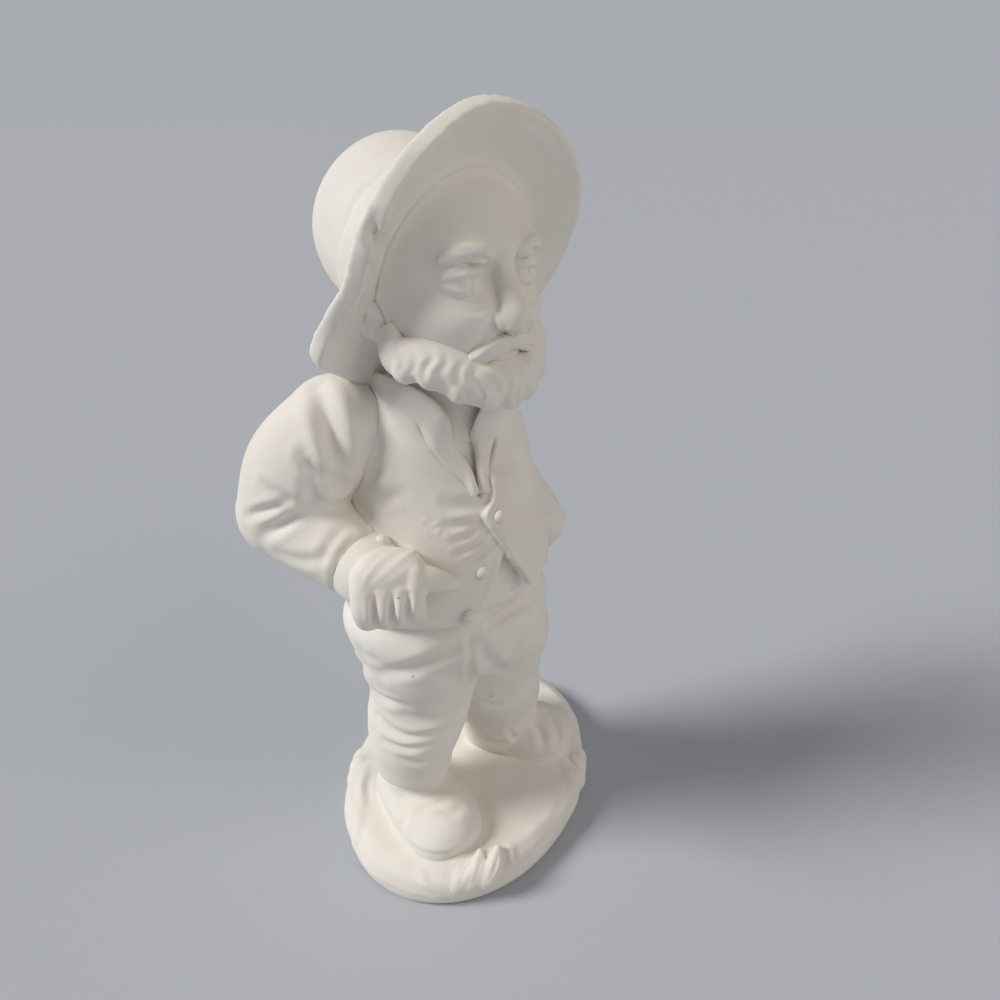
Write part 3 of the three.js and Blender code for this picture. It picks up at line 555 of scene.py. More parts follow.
def body_rings(inset):
    """Rings up the body, from the jacket's hem to the neck."""
    middle = (jacket_hem + chest_height) / 2
    return [(x, y, z, wide - inset, deep - inset) for x, y, z, wide, deep in [
        (body_x, body_y - 1, jacket_hem, belly_width * 0.515, belly_depth * 0.5),
        (body_x, body_y - 2, jacket_hem + 9, belly_width * 0.5, belly_depth * 0.5),
        (body_x, body_y - 2, middle + 4, belly_width * 0.485, belly_depth * 0.48),
        (body_x, body_y, chest_height, chest_width * 0.5, chest_depth * 0.5),
        (body_x, body_y + 1, shoulder_height - 8, chest_width * 0.47, chest_depth * 0.46),
        (body_x, body_y + 1, shoulder_height - 2, chest_width * 0.42, chest_depth * 0.43),
        (body_x, body_y, shoulder_height + 4, chest_width * 0.35, chest_depth * 0.41),
        (body_x, body_y - 1, shoulder_height + 10, neck_width * 0.575, neck_width * 0.575),
    ]]


clay = bmesh.new()
draw(clay, body_rings(jacket_thickness), level=True, sides=80)
torso = pour(clay, voxel=0.7, rounds=6)
tool(torso, shirt_folds, seen_on)
fire("torso", torso)

clay = bmesh.new()
band_top = waist_height - 1
draw(clay, [
    (body_x, body_y - 1, band_top - band_height, waist_half[0] + 1.5, waist_half[1] + 1.5),
    (body_x, body_y - 1, band_top - band_height / 2, waist_half[0] + 1.3, waist_half[1] + 1.3),
    (body_x, body_y - 1, band_top, waist_half[0] + 0.7, waist_half[1] + 0.7),
], level=True, sides=96, rows=12)
waistband = pour(clay, voxel=0.6, rounds=4)
tool(waistband, waist_folds, seen_on)
fire("waistband", waistband, [("trousers", 2.0), ("torso", 1.5)])

clay = bmesh.new()
half = neck_width / 2
draw(clay, [
    (body_x, body_y, shoulder_height - 6, half * 1.2, half * 1.15),
    (body_x, body_y, shoulder_height, half * 1.05, half * 1.05),
    ((body_x + head_centre.x) / 2, (body_y + head_centre.y) / 2, (shoulder_height + neck_top) / 2, half, half),
    (head_centre.x, head_centre.y + 3, neck_top, half * 0.98, half * 0.98),
], level=True)
fire("neck", pour(clay, voxel=0.7, rounds=4), [("torso", 3.0)])

# Jacket
# A pressed layer over the torso, open in a V at the neck and cut away below the clasp.
# The left front laps over the right with a thick edge, and creases pull towards the clasp.
neck_opening = 29.0
neck_x = -12.5
clasp_height = 125.5
clasp_x = -5.0
cutaway_width = 40.0
lap_edge = [(-6.5, 134), (-7.2, 130), (-10.6, 126), (-8.0, 120.5), (-4.8, 114.5), (-1.0, 108.5), (2.6, 102.5)]
lap_thickness = 2.0
lap_fade = 15.0
jacket_folds = [
    ([(446, 503), (466, 506), (484, 505)], 1.5, 0.7),
    ([(448, 526), (466, 525), (484, 521)], 1.2, 0.8),
    ([(456, 541), (471, 535), (486, 527)], 1.1, 0.9),
    ([(460, 553), (476, 545), (489, 534)], 1.1, 0.9),
    ([(466, 565), (481, 554), (494, 543)], 1.1, 0.8),
    ([(358, 438), (361, 450), (363, 462)], 1.5, 0.6),
    ([(365, 481), (373, 475), (382, 468)], 1.5, 0.8),
    ([(376, 501), (388, 498), (402, 494)], 1.5, 0.6),
    ([(521, 480), (533, 516), (537, 552)], 1.5, 0.7),
    ([(512, 530), (520, 550), (526, 574)], 1.3, 0.4),
    ([(329, 384), (340, 410), (349, 442), (353, 472), (350, 495)], 1.8, -1.4),
    ([(422, 522), (426, 520)], 0.5, -0.12),
    ([(433, 525), (439, 523)], 0.5, -0.14),
    ([(426, 532), (429, 536)], 0.5, -0.12),
    ([(437, 533), (441, 530)], 0.5, -0.14),
    ([(445, 529), (447, 534)], 0.5, -0.1),
    ([(378, 621), (404, 625), (432, 626), (466, 624)], 1.0, -0.4),
    ([(498, 562), (490, 586), (480, 614)], 0.8, -0.4),
]
jacket_back_folds = [
    ([(-9, 14, 148), (-9, 15, 130), (-9, 17, 98)], 1.1, 0.7),
    ([(-36, 6, 128), (-28, 12, 122), (-18, 15, 122)], 2.0, 0.9),
    ([(-38, 2, 116), (-30, 12, 110), (-18, 17, 110)], 2.0, 0.9),
    ([(18, 6, 128), (10, 12, 122), (0, 15, 122)], 2.0, 0.9),
    ([(20, 2, 114), (12, 12, 108), (0, 17, 108)], 2.0, 0.9),
    ([(-40, -8, 104), (-26, 14, 101), (-9, 18, 101)], 1.8, 0.6),
    ([(21, -8, 104), (8, 14, 101), (-9, 18, 101)], 1.8, 0.6),
]


def cut_away(clay, outline, near, far):
    """Presses a flat outline in X and Z through the front of a form."""
    cutter = bmesh.new()
    face = cutter.faces.new([cutter.verts.new((x, near, z)) for x, z in outline])
    pressed = bmesh.ops.extrude_face_region(cutter, geom=[face])["geom"]
    bmesh.ops.translate(
        cutter, vec=(0, far - near, 0), verts=[p for p in pressed if isinstance(p, bmesh.types.BMVert)]
    )
    bmesh.ops.recalc_face_normals(cutter, faces=cutter.faces)
    bodies = []
    for shape in (clay, cutter):
        bodies.append(placed("drawn", meshed(shape, "drawn")))
    knife = bodies[0].modifiers.new("knife", "BOOLEAN")
    knife.operation = "DIFFERENCE"
    knife.solver = "EXACT"
    knife.object = bodies[1]
    seen = bodies[0].evaluated_get(bpy.context.evaluated_depsgraph_get())
    left = bmesh.new()
    left.from_mesh(seen.data)
    for body in bodies:
        bpy.data.objects.remove(body)
    return left


clay = bmesh.new()
draw(clay, body_rings(0), level=True, sides=96, rows=60)
bmesh.ops.recalc_face_normals(clay, faces=clay.faces)
body_skin = BVHTree.FromBMesh(clay)
opening_front = body_y - belly_depth
clay = cut_away(clay, [
    (neck_x + neck_opening * 0.1, clasp_height + 4),
    (neck_x + neck_opening * 0.35, clasp_height + 16.5),
    (neck_x + neck_opening / 2, shoulder_height + 14),
    (neck_x - neck_opening / 2, shoulder_height + 14),
    (neck_x - neck_opening * 0.23, clasp_height + 16.5),
], opening_front, body_y)
clay = cut_away(clay, [
    (clasp_x, clasp_height - 10.5),
    (clasp_x - cutaway_width * 0.19, jacket_hem + 5),
    (clasp_x - cutaway_width * 0.27, jacket_hem - 2),
    (clasp_x + cutaway_width * 0.75, jacket_hem - 2),
    (clasp_x + cutaway_width * 0.48, jacket_hem + 6),
    (clasp_x + cutaway_width * 0.18, jacket_hem + 8),
], opening_front, body_y)
jacket = pour(clay, voxel=0.45, rounds=5)
spots, outward = points_of(jacket)
edge = np.array(smooth_line(lap_edge, 80))[::-1]
past = spots[:, 0] - np.interp(spots[:, 2], edge[:, 1], edge[:, 0])
lap = np.clip(past / 0.5, 0, 1) * np.clip(1 - past / lap_fade, 0, 1)
lap *= np.clip((spots[:, 2] - edge[0, 1]) / 0.5, 0, 1) * np.clip((edge[-1, 1] + 3 - spots[:, 2]) / 3, 0, 1)
lap *= (spots[:, 1] < body_y - 8) & (outward[:, 1] < -0.2)
move_points(jacket, spots + outward * (lap_thickness * lap)[:, None])
tool(jacket, jacket_folds, seen_on)
tool(jacket, jacket_back_folds, laid_on)
soften(jacket, rounds=1)
fire("jacket", jacket, [("trousers", 0.9), ("waistband", 0.8), ("neck", 2.0)])

# Buttons and clasp
# Five small pressed domes, stuck on with slip: two down the jacket front, one at the clasp
# where the collar closes, and one on each cuff, which are set with the cuffs below.
button_width = 3.4


def button(spot, facing, width):
    clay = bmesh.new()
    turn = Vector(facing).to_track_quat("Z", "Y").to_matrix().to_4x4()
    seat = Matrix.Translation(Vector(spot)) @ turn
    bmesh.ops.create_uvsphere(
        clay, u_segments=32, v_segments=18, radius=1.0,
        matrix=seat @ Matrix.Diagonal((width / 2, width / 2, width * 0.36, 1)),
    )
    bmesh.ops.create_cone(
        clay, cap_ends=True, segments=32, radius1=width * 0.56, radius2=width * 0.52, depth=width * 0.3, matrix=seat
    )
    return pour(clay, voxel=0.22, rounds=4)


def on_body(skin, height, angle):
    """Place and outward direction on a standing form, by height and angle from the front."""
    aim = Vector((math.sin(math.radians(angle)), -math.cos(math.radians(angle)), 0))
    start = Vector((body_x, body_y, height)) + aim * 80
    spot, facing, _, _ = skin.ray_cast(start, -aim)
    return spot, facing


for node, height, angle, out in [
    ("upper_button", clasp_height - 14, -7, 0.4),
    ("lower_button", jacket_hem + 4, -16, 1.2),
    ("collar_clasp", clasp_height, 7, 0.4),
]:
    spot, facing = on_body(surface_of(jacket), height, angle)
    facing = (facing + Vector((spot.x - body_x, spot.y - body_y, 0)).normalized() * 2).normalized()
    fire(node, button(spot + facing * out, facing, button_width), [("jacket", 0.6)])

# Collar
# A shawl collar rolled from the middle of the back down to the clasp, pressed in two strips.
# It slopes from the edge of the jacket down to the shirt, and the left strip laps over the right.
collar_width = 8.4
collar_thickness = 2.8
collar_lean = -12.0
collar_slope = 0.45


def collar(way):
    turn = neck_opening * 0.275
    stops = [
        (clasp_height + 5.5, way * 3.5 - 1, 0.5, 0.2),
        (clasp_height + 11, way * turn * 1.03 + collar_lean * 0.15, 0.75, -0.6),
        (clasp_height + 17, way * turn * 2.28 + collar_lean * 0.52, 0.95, -0.8),
        (shoulder_height + 2, way * turn * 3.5 + collar_lean * 0.67, 1.1, -0.3),
        (shoulder_height + 7, way * (turn + 50) + collar_lean * 0.5, 1.0, 0.2),
        (shoulder_height + 7, way * (turn + 92), 0.9, 0.2),
        (shoulder_height + 5, way * 145, 0.85, 0.2),
        (shoulder_height + 4, way * 177, 0.85, 0.2),
    ]
    clay = bmesh.new()
    ovals = []
    for height, angle, share, out in stops:
        spot, _ = on_body(body_skin, height, angle)
        aim = Vector((math.sin(math.radians(angle)), -math.cos(math.radians(angle)), 0))
        spot = spot + aim * out
        ovals.append((spot.x, spot.y, spot.z, collar_width / 2 * share, collar_thickness / 2))
    draw(clay, ovals, rows=80, sides=28, side=(0, 0, 1))
    cast = pour(clay, voxel=0.38, rounds=4)
    spots, _ = points_of(cast)
    line = smooth_line(ovals[:5], 60)
    middle = np.interp(spots[:, 2], line[:, 2], line[:, 0])
    inner = np.clip((spots[:, 0] - middle) * -way + 2.0, 0, 8)
    front = np.clip((shoulder_height + 3 - spots[:, 2]) / 8, 0, 1) * (spots[:, 1] < body_y - 4)
    spots[:, 1] += collar_slope * inner * front
    move_points(cast, spots)
    return cast


fire("right_collar", collar(-1), [("jacket", 1.1), ("neck", 1.5)])
fire("left_collar", collar(1), [("jacket", 1.1), ("neck", 1.5), ("right_collar", 1.1)])

# Sleeves
# Two arm castings luted to the jacket at the armholes.
# The right arm is bent with its hand at the hip, full and creased at the elbow; the left hangs behind.
right_sleeve_width = 27.0
left_sleeve_width = 19.0
right_arm = [(-36.4, 0.8, 147), (-46.2, 2.2, 137), (-51.7, 4.7, 124.2), (-40.8, -16.5, 115.6)]
left_arm = [(9.3, 1.2, 140), (15.3, 1.2, 119), (29.3, 1.7, 99.5), (23.5, 3, 90.5)]
right_sleeve_folds = [
    ([(317, 388), (329, 424), (337, 456), (342, 482)], 2.2, 2.6),
    ([(304, 456), (316, 470), (331, 480), (343, 487)], 1.6, 1.9),
    ([(306, 470), (313, 490), (312, 504)], 1.8, 1.1),
    ([(247, 516), (266, 510), (288, 503)], 1.1, 1.1),
    ([(262, 537), (281, 525), (299, 511)], 1.4, 0.9),
    ([(264, 484), (281, 496), (309, 506)], 1.3, 0.8),
    ([(280, 554), (305, 561), (328, 556)], 1.4, 0.6),
    ([(334, 575), (340, 557), (355, 538)], 1.2, 1.1),
    ([(322, 566), (330, 548), (344, 530)], 1.5, 0.6),
    ([(313, 404), (317, 420), (316, 434)], 2.0, 0.4),
]
right_sleeve_back = [
    ([(-52, 18, 134), (-46, 15, 124), (-40, 6, 117)], 1.9, 1.2),
    ([(-62, 12, 130), (-58, 14, 122), (-50, 12, 113)], 1.7, 1.0),
    ([(-36, 14, 152), (-38, 15, 142), (-36, 12, 132)], 1.9, 1.0),
    ([(-54, 14, 118), (-48, 6, 112), (-42, -4, 108)], 1.6, 0.7),
]
left_sleeve_folds = [
    ([(14, 10, 124), (22, 8, 118), (26, -2, 114)], 1.8, 1.1),
    ([(18, 10, 114), (26, 8, 109), (30, -2, 106)], 1.7, 1.1),
    ([(30, 10, 106), (37, 4, 101), (36, -4, 96)], 1.4, 0.9),
    ([(8, 10, 142), (14, 10, 134), (18, 4, 130)], 1.8, 0.8),
    ([(20, -8, 110), (25, -7, 106), (32, -5, 105)], 1.4, 0.8),
    ([(24, 11, 98), (31, 9, 94), (36, 4, 93)], 1.4, 0.7),
]


def lump(clay, spot, radii, turn=(0, 0, 0), fine=4):
    """Egg-shaped lump of clay."""
    tilt = Euler([math.radians(angle) for angle in turn]).to_matrix().to_4x4()
    bmesh.ops.create_icosphere(
        clay, subdivisions=fine, radius=1.0,
        matrix=Matrix.Translation(Vector(spot)) @ tilt @ Matrix.Diagonal((*radii, 1)),
    )


def sleeve(arm, width):
    shoulder, upper, elbow, wrist = (Vector(stop) for stop in arm)
    half = width / 2
    clay = bmesh.new()
    draw(clay, [
        (*shoulder, half, half), (*upper, half * 1.1, half * 1.08), (*elbow, half * 0.95, half * 0.95),
    ], side=(0, 1, 0))
    draw(clay, [
        (*elbow, half * 0.93, half * 0.93),
        (*elbow.lerp(wrist, 0.5), half * 0.84, half * 0.84),
        (*wrist, half * 0.7, half * 0.7),
    ], side=(0, 0, 1))
    for spot, radius in [(elbow, half * 0.95), (shoulder, half)]:
        lump(clay, spot, (radius, radius, radius))
    return pour(clay, voxel=0.55, rounds=14)


right_sleeve = sleeve(right_arm, right_sleeve_width)
tool(right_sleeve, right_sleeve_folds, seen_on)
tool(right_sleeve, right_sleeve_back, laid_on)
soften(right_sleeve, rounds=2)
fire("right_sleeve", right_sleeve, [("jacket", 3.6), ("right_collar", 1.0)])
left_sleeve = sleeve(left_arm, left_sleeve_width)
tool(left_sleeve, left_sleeve_folds, laid_on)
soften(left_sleeve, rounds=2)
fire("left_sleeve", left_sleeve, [("jacket", 4.0), ("trousers", 2.0)])

# Hands
# The right hand is a loose fist on the hip, its fingers curled down from the knuckles, the thumb forward.
# The left hand is only a wrist and the back of a hand going down into the trouser pocket.
right_wrist_width = 16.0
left_wrist_width = 12.0
cuff_length = 7.0
knuckle_row = Vector((0.88, -0.47, 0.0))
fingers = [(-6.2, 0.0, 3.7), (-1.7, -0.3, 3.4), (2.6, 0.0, 3.2), (6.2, 0.8, 2.9)]
finger_bend = [(-2.6, 3.2), (-4.2, 0.2), (-4.8, -4.6), (-2.0, -9.0)]
thumb = [(3.0, -3.4, 2.6, 4.2), (7.2, -5.6, 1.6, 3.6), (11.0, -6.4, 0.0, 2.9), (15.0, -6.6, -2.4, 1.9)]


def digit(clay, joints):
    for x, y, z, radius in smooth_line(joints, 14):
        lump(clay, (x, y, z), (radius, radius, radius), fine=3)


def forearm(arm):
    """The wrist of an arm and the way that its forearm points."""
    elbow, wrist = Vector(arm[2]), Vector(arm[3])
    return wrist, (wrist - elbow).normalized()


wrist, along = forearm(right_arm)
palm = wrist + Vector((4.5, -10.7, -1.8))
half = right_wrist_width / 2
clay = bmesh.new()
draw(clay, [
    (*wrist, half * 0.95, half * 0.95),
    (*(wrist + along * cuff_length), half, half),
    (*(wrist + along * (cuff_length + 4)), half, half),
], side=(0, 0, 1), rows=16)
draw(clay, [
    (*(wrist + along * (cuff_length - 1)), half * 0.95, half * 0.95),
    (*(palm + Vector((-0.6, 0.4, 2.4))), half * 1.12, half * 0.86),
    (*(palm + Vector((0.2, -0.8, 0.4))), half * 1.2, half * 0.7),
    (*(palm + Vector((0.4, -1.0, -2.4))), half * 1.1, half * 0.56),
    (*(palm + Vector((0.4, 0.2, -5.4))), half * 0.9, half * 0.4),
], side=knuckle_row, rows=30)
out_of_hand = Vector((0.47, 0.88, 0.0))


def finger_spot(across, ahead, low):
    return palm + knuckle_row * across + out_of_hand * ahead + Vector((0, 0, low))


for across, low, radius in fingers:
    digit(clay, [(*finger_spot(across, ahead, z + low), radius) for ahead, z in finger_bend])
digit(clay, [(*(palm + Vector(joint[:3])), joint[3]) for joint in thumb])
right_hand = pour(clay, voxel=0.33, rounds=12)
clefts = []
for (across, low, radius), (next_across, next_low, next_radius) in zip(fingers, fingers[1:]):
    between = (across + radius + next_across - next_radius) / 2
    clefts.append(([
        finger_spot(between, ahead - 3.4, z + (low + next_low) / 2) for ahead, z in finger_bend[1:]
    ], 0.8, 1.1))
tool(right_hand, clefts, laid_on)
soften(right_hand, rounds=2)
fire("right_hand", right_hand, [("jacket", 1.6), ("right_sleeve", 1.2)])

wrist, along = forearm(left_arm)
half = left_wrist_width / 2
clay = bmesh.new()
draw(clay, [
    (*wrist, half * 0.95, half * 0.95),
    (*(wrist + along * cuff_length), half, half),
    (wrist.x - 5, wrist.y - 4, wrist.z - 12, half * 1.1, half * 0.9),
    (wrist.x - 7, wrist.y - 6, wrist.z - 18, half * 0.9, half * 0.7),
], side=(0, 0, 1))
fire("left_hand", pour(clay, voxel=0.45, rounds=5), [("trousers", 1.8), ("left_sleeve", 1.2)])

# Cuffs
# A turned-back band round each wrist with one small button on its outer side.
# Each is a strip wrapped round the end of the sleeve and joined underneath.
cuff_thickness = 1.3
for side, arm, wrist_width, button_aim in [
    ("right", right_arm, right_wrist_width, (0.6, -0.3, 1.0)),
    ("left", left_arm, left_wrist_width, (1.0, 0.0, 0.0)),
]:
    wrist, along = forearm(arm)
    half = wrist_width / 2 + cuff_thickness
    clay = bmesh.new()
    draw(clay, [
        (*(wrist - along * 0.5), half * 0.95, half * 0.95),
        (*(wrist + along * cuff_length * 0.5), half * 1.02, half * 1.02),
        (*(wrist + along * cuff_length), half, half),
    ], side=(0, 0, 1), rows=14)
    fire(side + "_cuff", pour(clay, voxel=0.38, rounds=5), [
        (side + "_sleeve", 1.0), (side + "_hand", 1.2), ("jacket", 1.0), ("trousers", 1.0),
    ])
    out = Vector(button_aim) - along * Vector(button_aim).dot(along)
    out.normalize()
    spot = wrist + along * (cuff_length * 0.55) + out * (half + 0.2)
    fire(side + "_cuff_button", button(spot, out, button_width), [(side + "_cuff", 0.6)])

# Head
# A hollow casting with a calm, plain face on even proportions, turned a little to the figure's left.
# Brows, lids, nose, cheeks and lips were built up in soft clay and smoothed with a wet brush.
head_turn = 10.0
head_width = 43.0
head_depth = 45.0
brow_height = 7.6
eye_height = 2.4
eye_spread = 8.6
eye_radius = 4.9
nose_base = -8.6
mouth_height = -14.0
head_frame = Matrix.Translation(head_centre) @ Matrix.Rotation(math.radians(head_turn), 4, "Z")


def mirrored(stops):
    """Stops from one end of a strip to its middle, and the same on the other side."""
    return stops + [(-x, *rest) for x, *rest in reversed(stops) if x]


def swell(cast, lumps):
    """Presses soft hollows and swellings into a surface: place, size and height."""
    spots, outward = points_of(cast)
    shift = np.zeros(len(spots))
    for spot, size, height in lumps:
        gap = np.linalg.norm((spots - np.array(spot)) / np.array(size), axis=1)
        shift += height * np.exp(-(gap**2))
    move_points(cast, spots + outward * shift[:, None])


def eyelid(clay, spot, radius, tilt, upper):
    """The part of a round shell over the eye that is above or below a slanting plane."""
    lid = bmesh.new()
    bmesh.ops.create_icosphere(lid, subdivisions=5, radius=radius)
    facing = Vector((0, math.sin(math.radians(tilt)), math.cos(math.radians(tilt))))
    cut = bmesh.ops.bisect_plane(
        lid, geom=lid.verts[:] + lid.edges[:] + lid.faces[:], plane_co=(0, 0, 0), plane_no=facing,
        clear_inner=upper, clear_outer=not upper,
    )
    bmesh.ops.holes_fill(lid, edges=[e for e in cut["geom_cut"] if isinstance(e, bmesh.types.BMEdge)])
    bmesh.ops.translate(lid, vec=Vector(spot), verts=lid.verts)
    shell = meshed(lid, "lid")
    clay.from_mesh(shell)
    bpy.data.meshes.remove(shell)


half = head_width / 2
deep = head_depth / 2
clay = bmesh.new()
lump(clay, (0, 1, 4), (half, deep, half * 1.1))
draw(clay, [
    (0, -5, -chin_drop, half * 0.42, deep * 0.42),
    (0, -4, -chin_drop + 4, half * 0.62, deep * 0.64),
    (0, -2.5, -chin_drop * 0.55, half * 0.84, deep * 0.84),
    (0, -0.5, -chin_drop * 0.2, half * 0.95, deep * 0.95),
    (0, 0.5, 4, half * 0.97, deep * 0.97),
], level=True)
head = pour(clay, voxel=0.5, rounds=14)
soft_forms = []
for way in (-1, 1):
    soft_forms += [
        ((way * eye_spread, -deep * 0.88, eye_height), (6.4, 9.0, 4.4), -3.0),
        ((way * 3.6, -deep * 0.92, eye_height + 1), (2.4, 6.0, 4.0), -1.0),
        ((way * eye_spread, -deep * 0.86, brow_height + 1.4), (7.0, 8.0, 2.6), 1.1),
        ((way * 11.0, -deep * 0.76, -6.4), (6.4, 9.0, 5.2), 1.9),
        ((way * 16.5, -deep * 0.5, 6.0), (4.0, 8.0, 6.0), -0.9),
        ((way * 13.0, -deep * 0.6, -13.5), (4.5, 8.0, 4.0), -0.6),
    ]
swell(head, soft_forms)
clay = bmesh.new()
clay.from_mesh(head)
eye_back = -deep * 0.86 + eye_radius
for way in (-1, 1):
    eye = (way * eye_spread, eye_back, eye_height)
    lump(clay, eye, (eye_radius, eye_radius, eye_radius), fine=5)
    eyelid(clay, eye, eye_radius + 0.75, 15, True)
    eyelid(clay, eye, eye_radius + 0.6, -20, False)
    draw(clay, [
        (way * 3.4, -deep * 0.91, brow_height - 0.4, 1.1, 0.8),
        (way * 6.6, -deep * 0.91, brow_height + 0.8, 2.1, 1.5),
        (way * 10.6, -deep * 0.83, brow_height + 1.2, 2.0, 1.4),
        (way * 14.4, -deep * 0.66, brow_height - 0.8, 1.0, 0.8),
    ], sides=24, side=(0, 0, 1))
    lump(clay, (way * 2.9, -deep * 0.97, nose_base + 2.0), (2.1, 2.9, 2.1))
draw(clay, [
    (0, -deep * 0.88, brow_height + 0.6, 3.0, 1.6),
    (0, -deep * 0.92, eye_height + 1.4, 2.4, 1.9),
    (0, -deep * 0.99, eye_height - 3.6, 2.7, 2.5),
    (0, -deep * 1.05, nose_base + 3.6, 3.5, 3.3),
    (0, -deep * 1.04, nose_base + 1.2, 3.3, 2.8),
    (0, -deep * 0.97, nose_base - 0.2, 1.8, 1.3),
], sides=36)
for rise, reach, ahead, thick in ((mouth_height + 0.9, 6.4, 0.92, 1.1), (mouth_height - 1.3, 5.6, 0.91, 1.4)):
    draw(clay, mirrored([
        (-reach, -deep * (ahead - 0.12), rise, 0.5, 0.6),
        (-reach * 0.5, -deep * (ahead - 0.01), rise + 0.2, thick, 1.3),
        (0, -deep * ahead, rise, thick, 1.4),
    ]), sides=20, side=(0, 0, 1))
head = pour(clay, voxel=0.32, rounds=5)
face_lines = []
for way in (-1, 1):
    face_lines += [
        ([
            (way * 4.6, -deep, eye_height + 3.0), (way * eye_spread, -deep, eye_height + 4.9),
            (way * 12.6, -deep * 0.85, eye_height + 3.2),
        ], 0.6, 0.7),
        ([
            (way * 5.4, -deep, eye_height - 4.4), (way * 9.0, -deep, eye_height - 5.4),
            (way * 12.4, -deep * 0.85, eye_height - 4.2),
        ], 0.8, 0.3),
        ([
            (way * 5.2, -deep, nose_base + 2.4), (way * 7.2, -deep, nose_base - 1.4),
            (way * 9.4, -deep * 0.95, mouth_height + 0.4),
        ], 1.1, 0.6),
        ([(way * 1.5, -deep * 1.16, nose_base - 0.6), (way * 2.2, -deep * 1.1, nose_base - 0.9),
          (way * 2.6, -deep * 1.02, nose_base - 0.7)], 0.7, 1.0),
        ([(way * 4.4, -deep * 1.1, brow_height), (way * 6.4, -deep * 1.1, brow_height + 2.4)], 0.55, 0.22),
        ([(way * 7.2, -deep * 1.1, brow_height + 0.2), (way * 9.4, -deep * 1.1, brow_height + 2.6)], 0.55, 0.22),
        ([(way * 10.2, -deep, brow_height + 0.2), (way * 12.4, -deep, brow_height + 1.8)], 0.55, 0.2),
        ([(way * eye_spread - 0.5, -deep, eye_height), (way * eye_spread + 0.5, -deep, eye_height)], 1.0, 0.8),
    ]
face_lines += [
    (mirrored([(-5.8, -deep, mouth_height - 0.1), (0, -deep * 1.1, mouth_height - 0.3)]), 0.5, 0.6),
    ([(0, -deep * 1.1, nose_base - 1.4), (0, -deep * 1.1, mouth_height + 2.2)], 0.8, 0.4),
]
tool(head, face_lines, laid_on)
soften(head, rounds=1)
head.transform(head_frame)
fire("head", head, [("neck", 2.0)])

# Hat
# A felt-shaped hat pushed back on the head: a hollow domed crown, a broad brim like a thick sheet
# that droops unevenly and has a small fold on the right, and a narrow band at the foot of the crown.
hat_tilt = 68.0
hat_rise = 2.4
crown_width = 47.0
crown_height = 34.5
crown_profile = [
    (1.0, 0), (0.99, 0.25), (0.97, 0.5), (0.93, 0.7), (0.82, 0.87), (0.62, 0.96), (0.3, 1.0), (0, 1.0),
]
brim_thickness = 4.6
brim_reach = [38.8, 40.2, 41.4, 41.8, 41, 39.1, 37, 35.8, 36, 36.2, 37.6, 38.8, 32.8, 32.5, 34, 36.2]
brim_drop = [1, 2.4, 4, 2.8, 1, 0.3, 0, -0.1, 0, -0.4, 0, 2, 7, 7, 5.5, 3]
brim_trims = [(10.55, 0.35, 1.3), (11.25, 0.35, -2.2), (12.0, 0.4, -0.6)]
band_low = 0.8
band_high = 10.0
brim_lines = [
    ([(374, 222), (376, 236), (384, 250)], 1.5, 1.8),
    ([(524, 118), (548, 128), (562, 146)], 1.2, 0.3),
    ([(428, 150), (404, 196), (392, 240)], 2.6, 0.4),
    ([(352, 296), (340, 326), (326, 362)], 1.6, 0.4),
]
crown_lines = [([(393, 168), (356, 202), (344, 244)], 1.2, 0.3)]
hat_frame = head_frame @ Matrix.Translation((0, 1, hat_rise)) @ Matrix.Rotation(math.radians(-hat_tilt), 4, "X")

radius = crown_width / 2
outline = [(0, 0)] + [tuple(stop) for stop in smooth_line(crown_profile, 60)]
clay = thrown([(reach * radius, rise * crown_height) for reach, rise in outline])
bmesh.ops.transform(clay, matrix=hat_frame, verts=clay.verts)
crown = pour(clay, voxel=0.65, rounds=8)
tool(crown, crown_lines, seen_on)
fire("hat_crown", crown)

clay = bmesh.new()
steps_out = 14
segments = 120
inner = radius - 4
rim = smooth_line([list(pair) for pair in zip(brim_reach, brim_drop)] * 3, 48 * 20 - 19)[16 * 20:32 * 20]
for turn, width, further in brim_trims:
    gap = (np.arange(len(rim)) / 20 - turn + 8) % 16 - 8
    rim[:, 0] += further * np.exp(-((gap / width) ** 2))
verts, edges = hoop(clay, segments, inner, Matrix())
for step in range(steps_out + 1):
    share = step / steps_out
    for vert in verts:
        round_hat = math.atan2(vert.co.x, -vert.co.y)
        reach, drop = rim[int(round(round_hat / (2 * math.pi) * len(rim))) % len(rim)]
        far = inner + (reach - inner) * share
        vert.co = (
            far * math.sin(round_hat), -far * math.cos(round_hat), 1 + brim_thickness / 2 - drop * share**1.6
        )
    if step < steps_out:
        verts, edges = pull(clay, edges)
bmesh.ops.recalc_face_normals(clay, faces=clay.faces)
if sum(face.normal.z for face in clay.faces) < 0:
    bmesh.ops.reverse_faces(clay, faces=clay.faces)
bmesh.ops.solidify(clay, geom=clay.faces[:], thickness=brim_thickness)
bmesh.ops.transform(clay, matrix=hat_frame, verts=clay.verts)
brim = pour(clay, voxel=0.55, rounds=10)
tool(brim, brim_lines, seen_on)
soften(brim, rounds=2)
fire("hat_brim", brim, [("head", 6.5), ("hat_crown", 3.0), ("right_sleeve", 1.2), ("jacket", 1.2)])

band = radius + 1.0
clay = thrown([
    (band - 5, band_low), (band, band_low), (band + 0.2, (band_low + band_high) / 2),
    (band, band_high), (band - 5, band_high),
], closed=True)
bmesh.ops.transform(clay, matrix=hat_frame, verts=clay.verts)
fire("hat_band", pour(clay, voxel=0.5, rounds=8), [("hat_crown", 1.0), ("hat_brim", 1.2)])

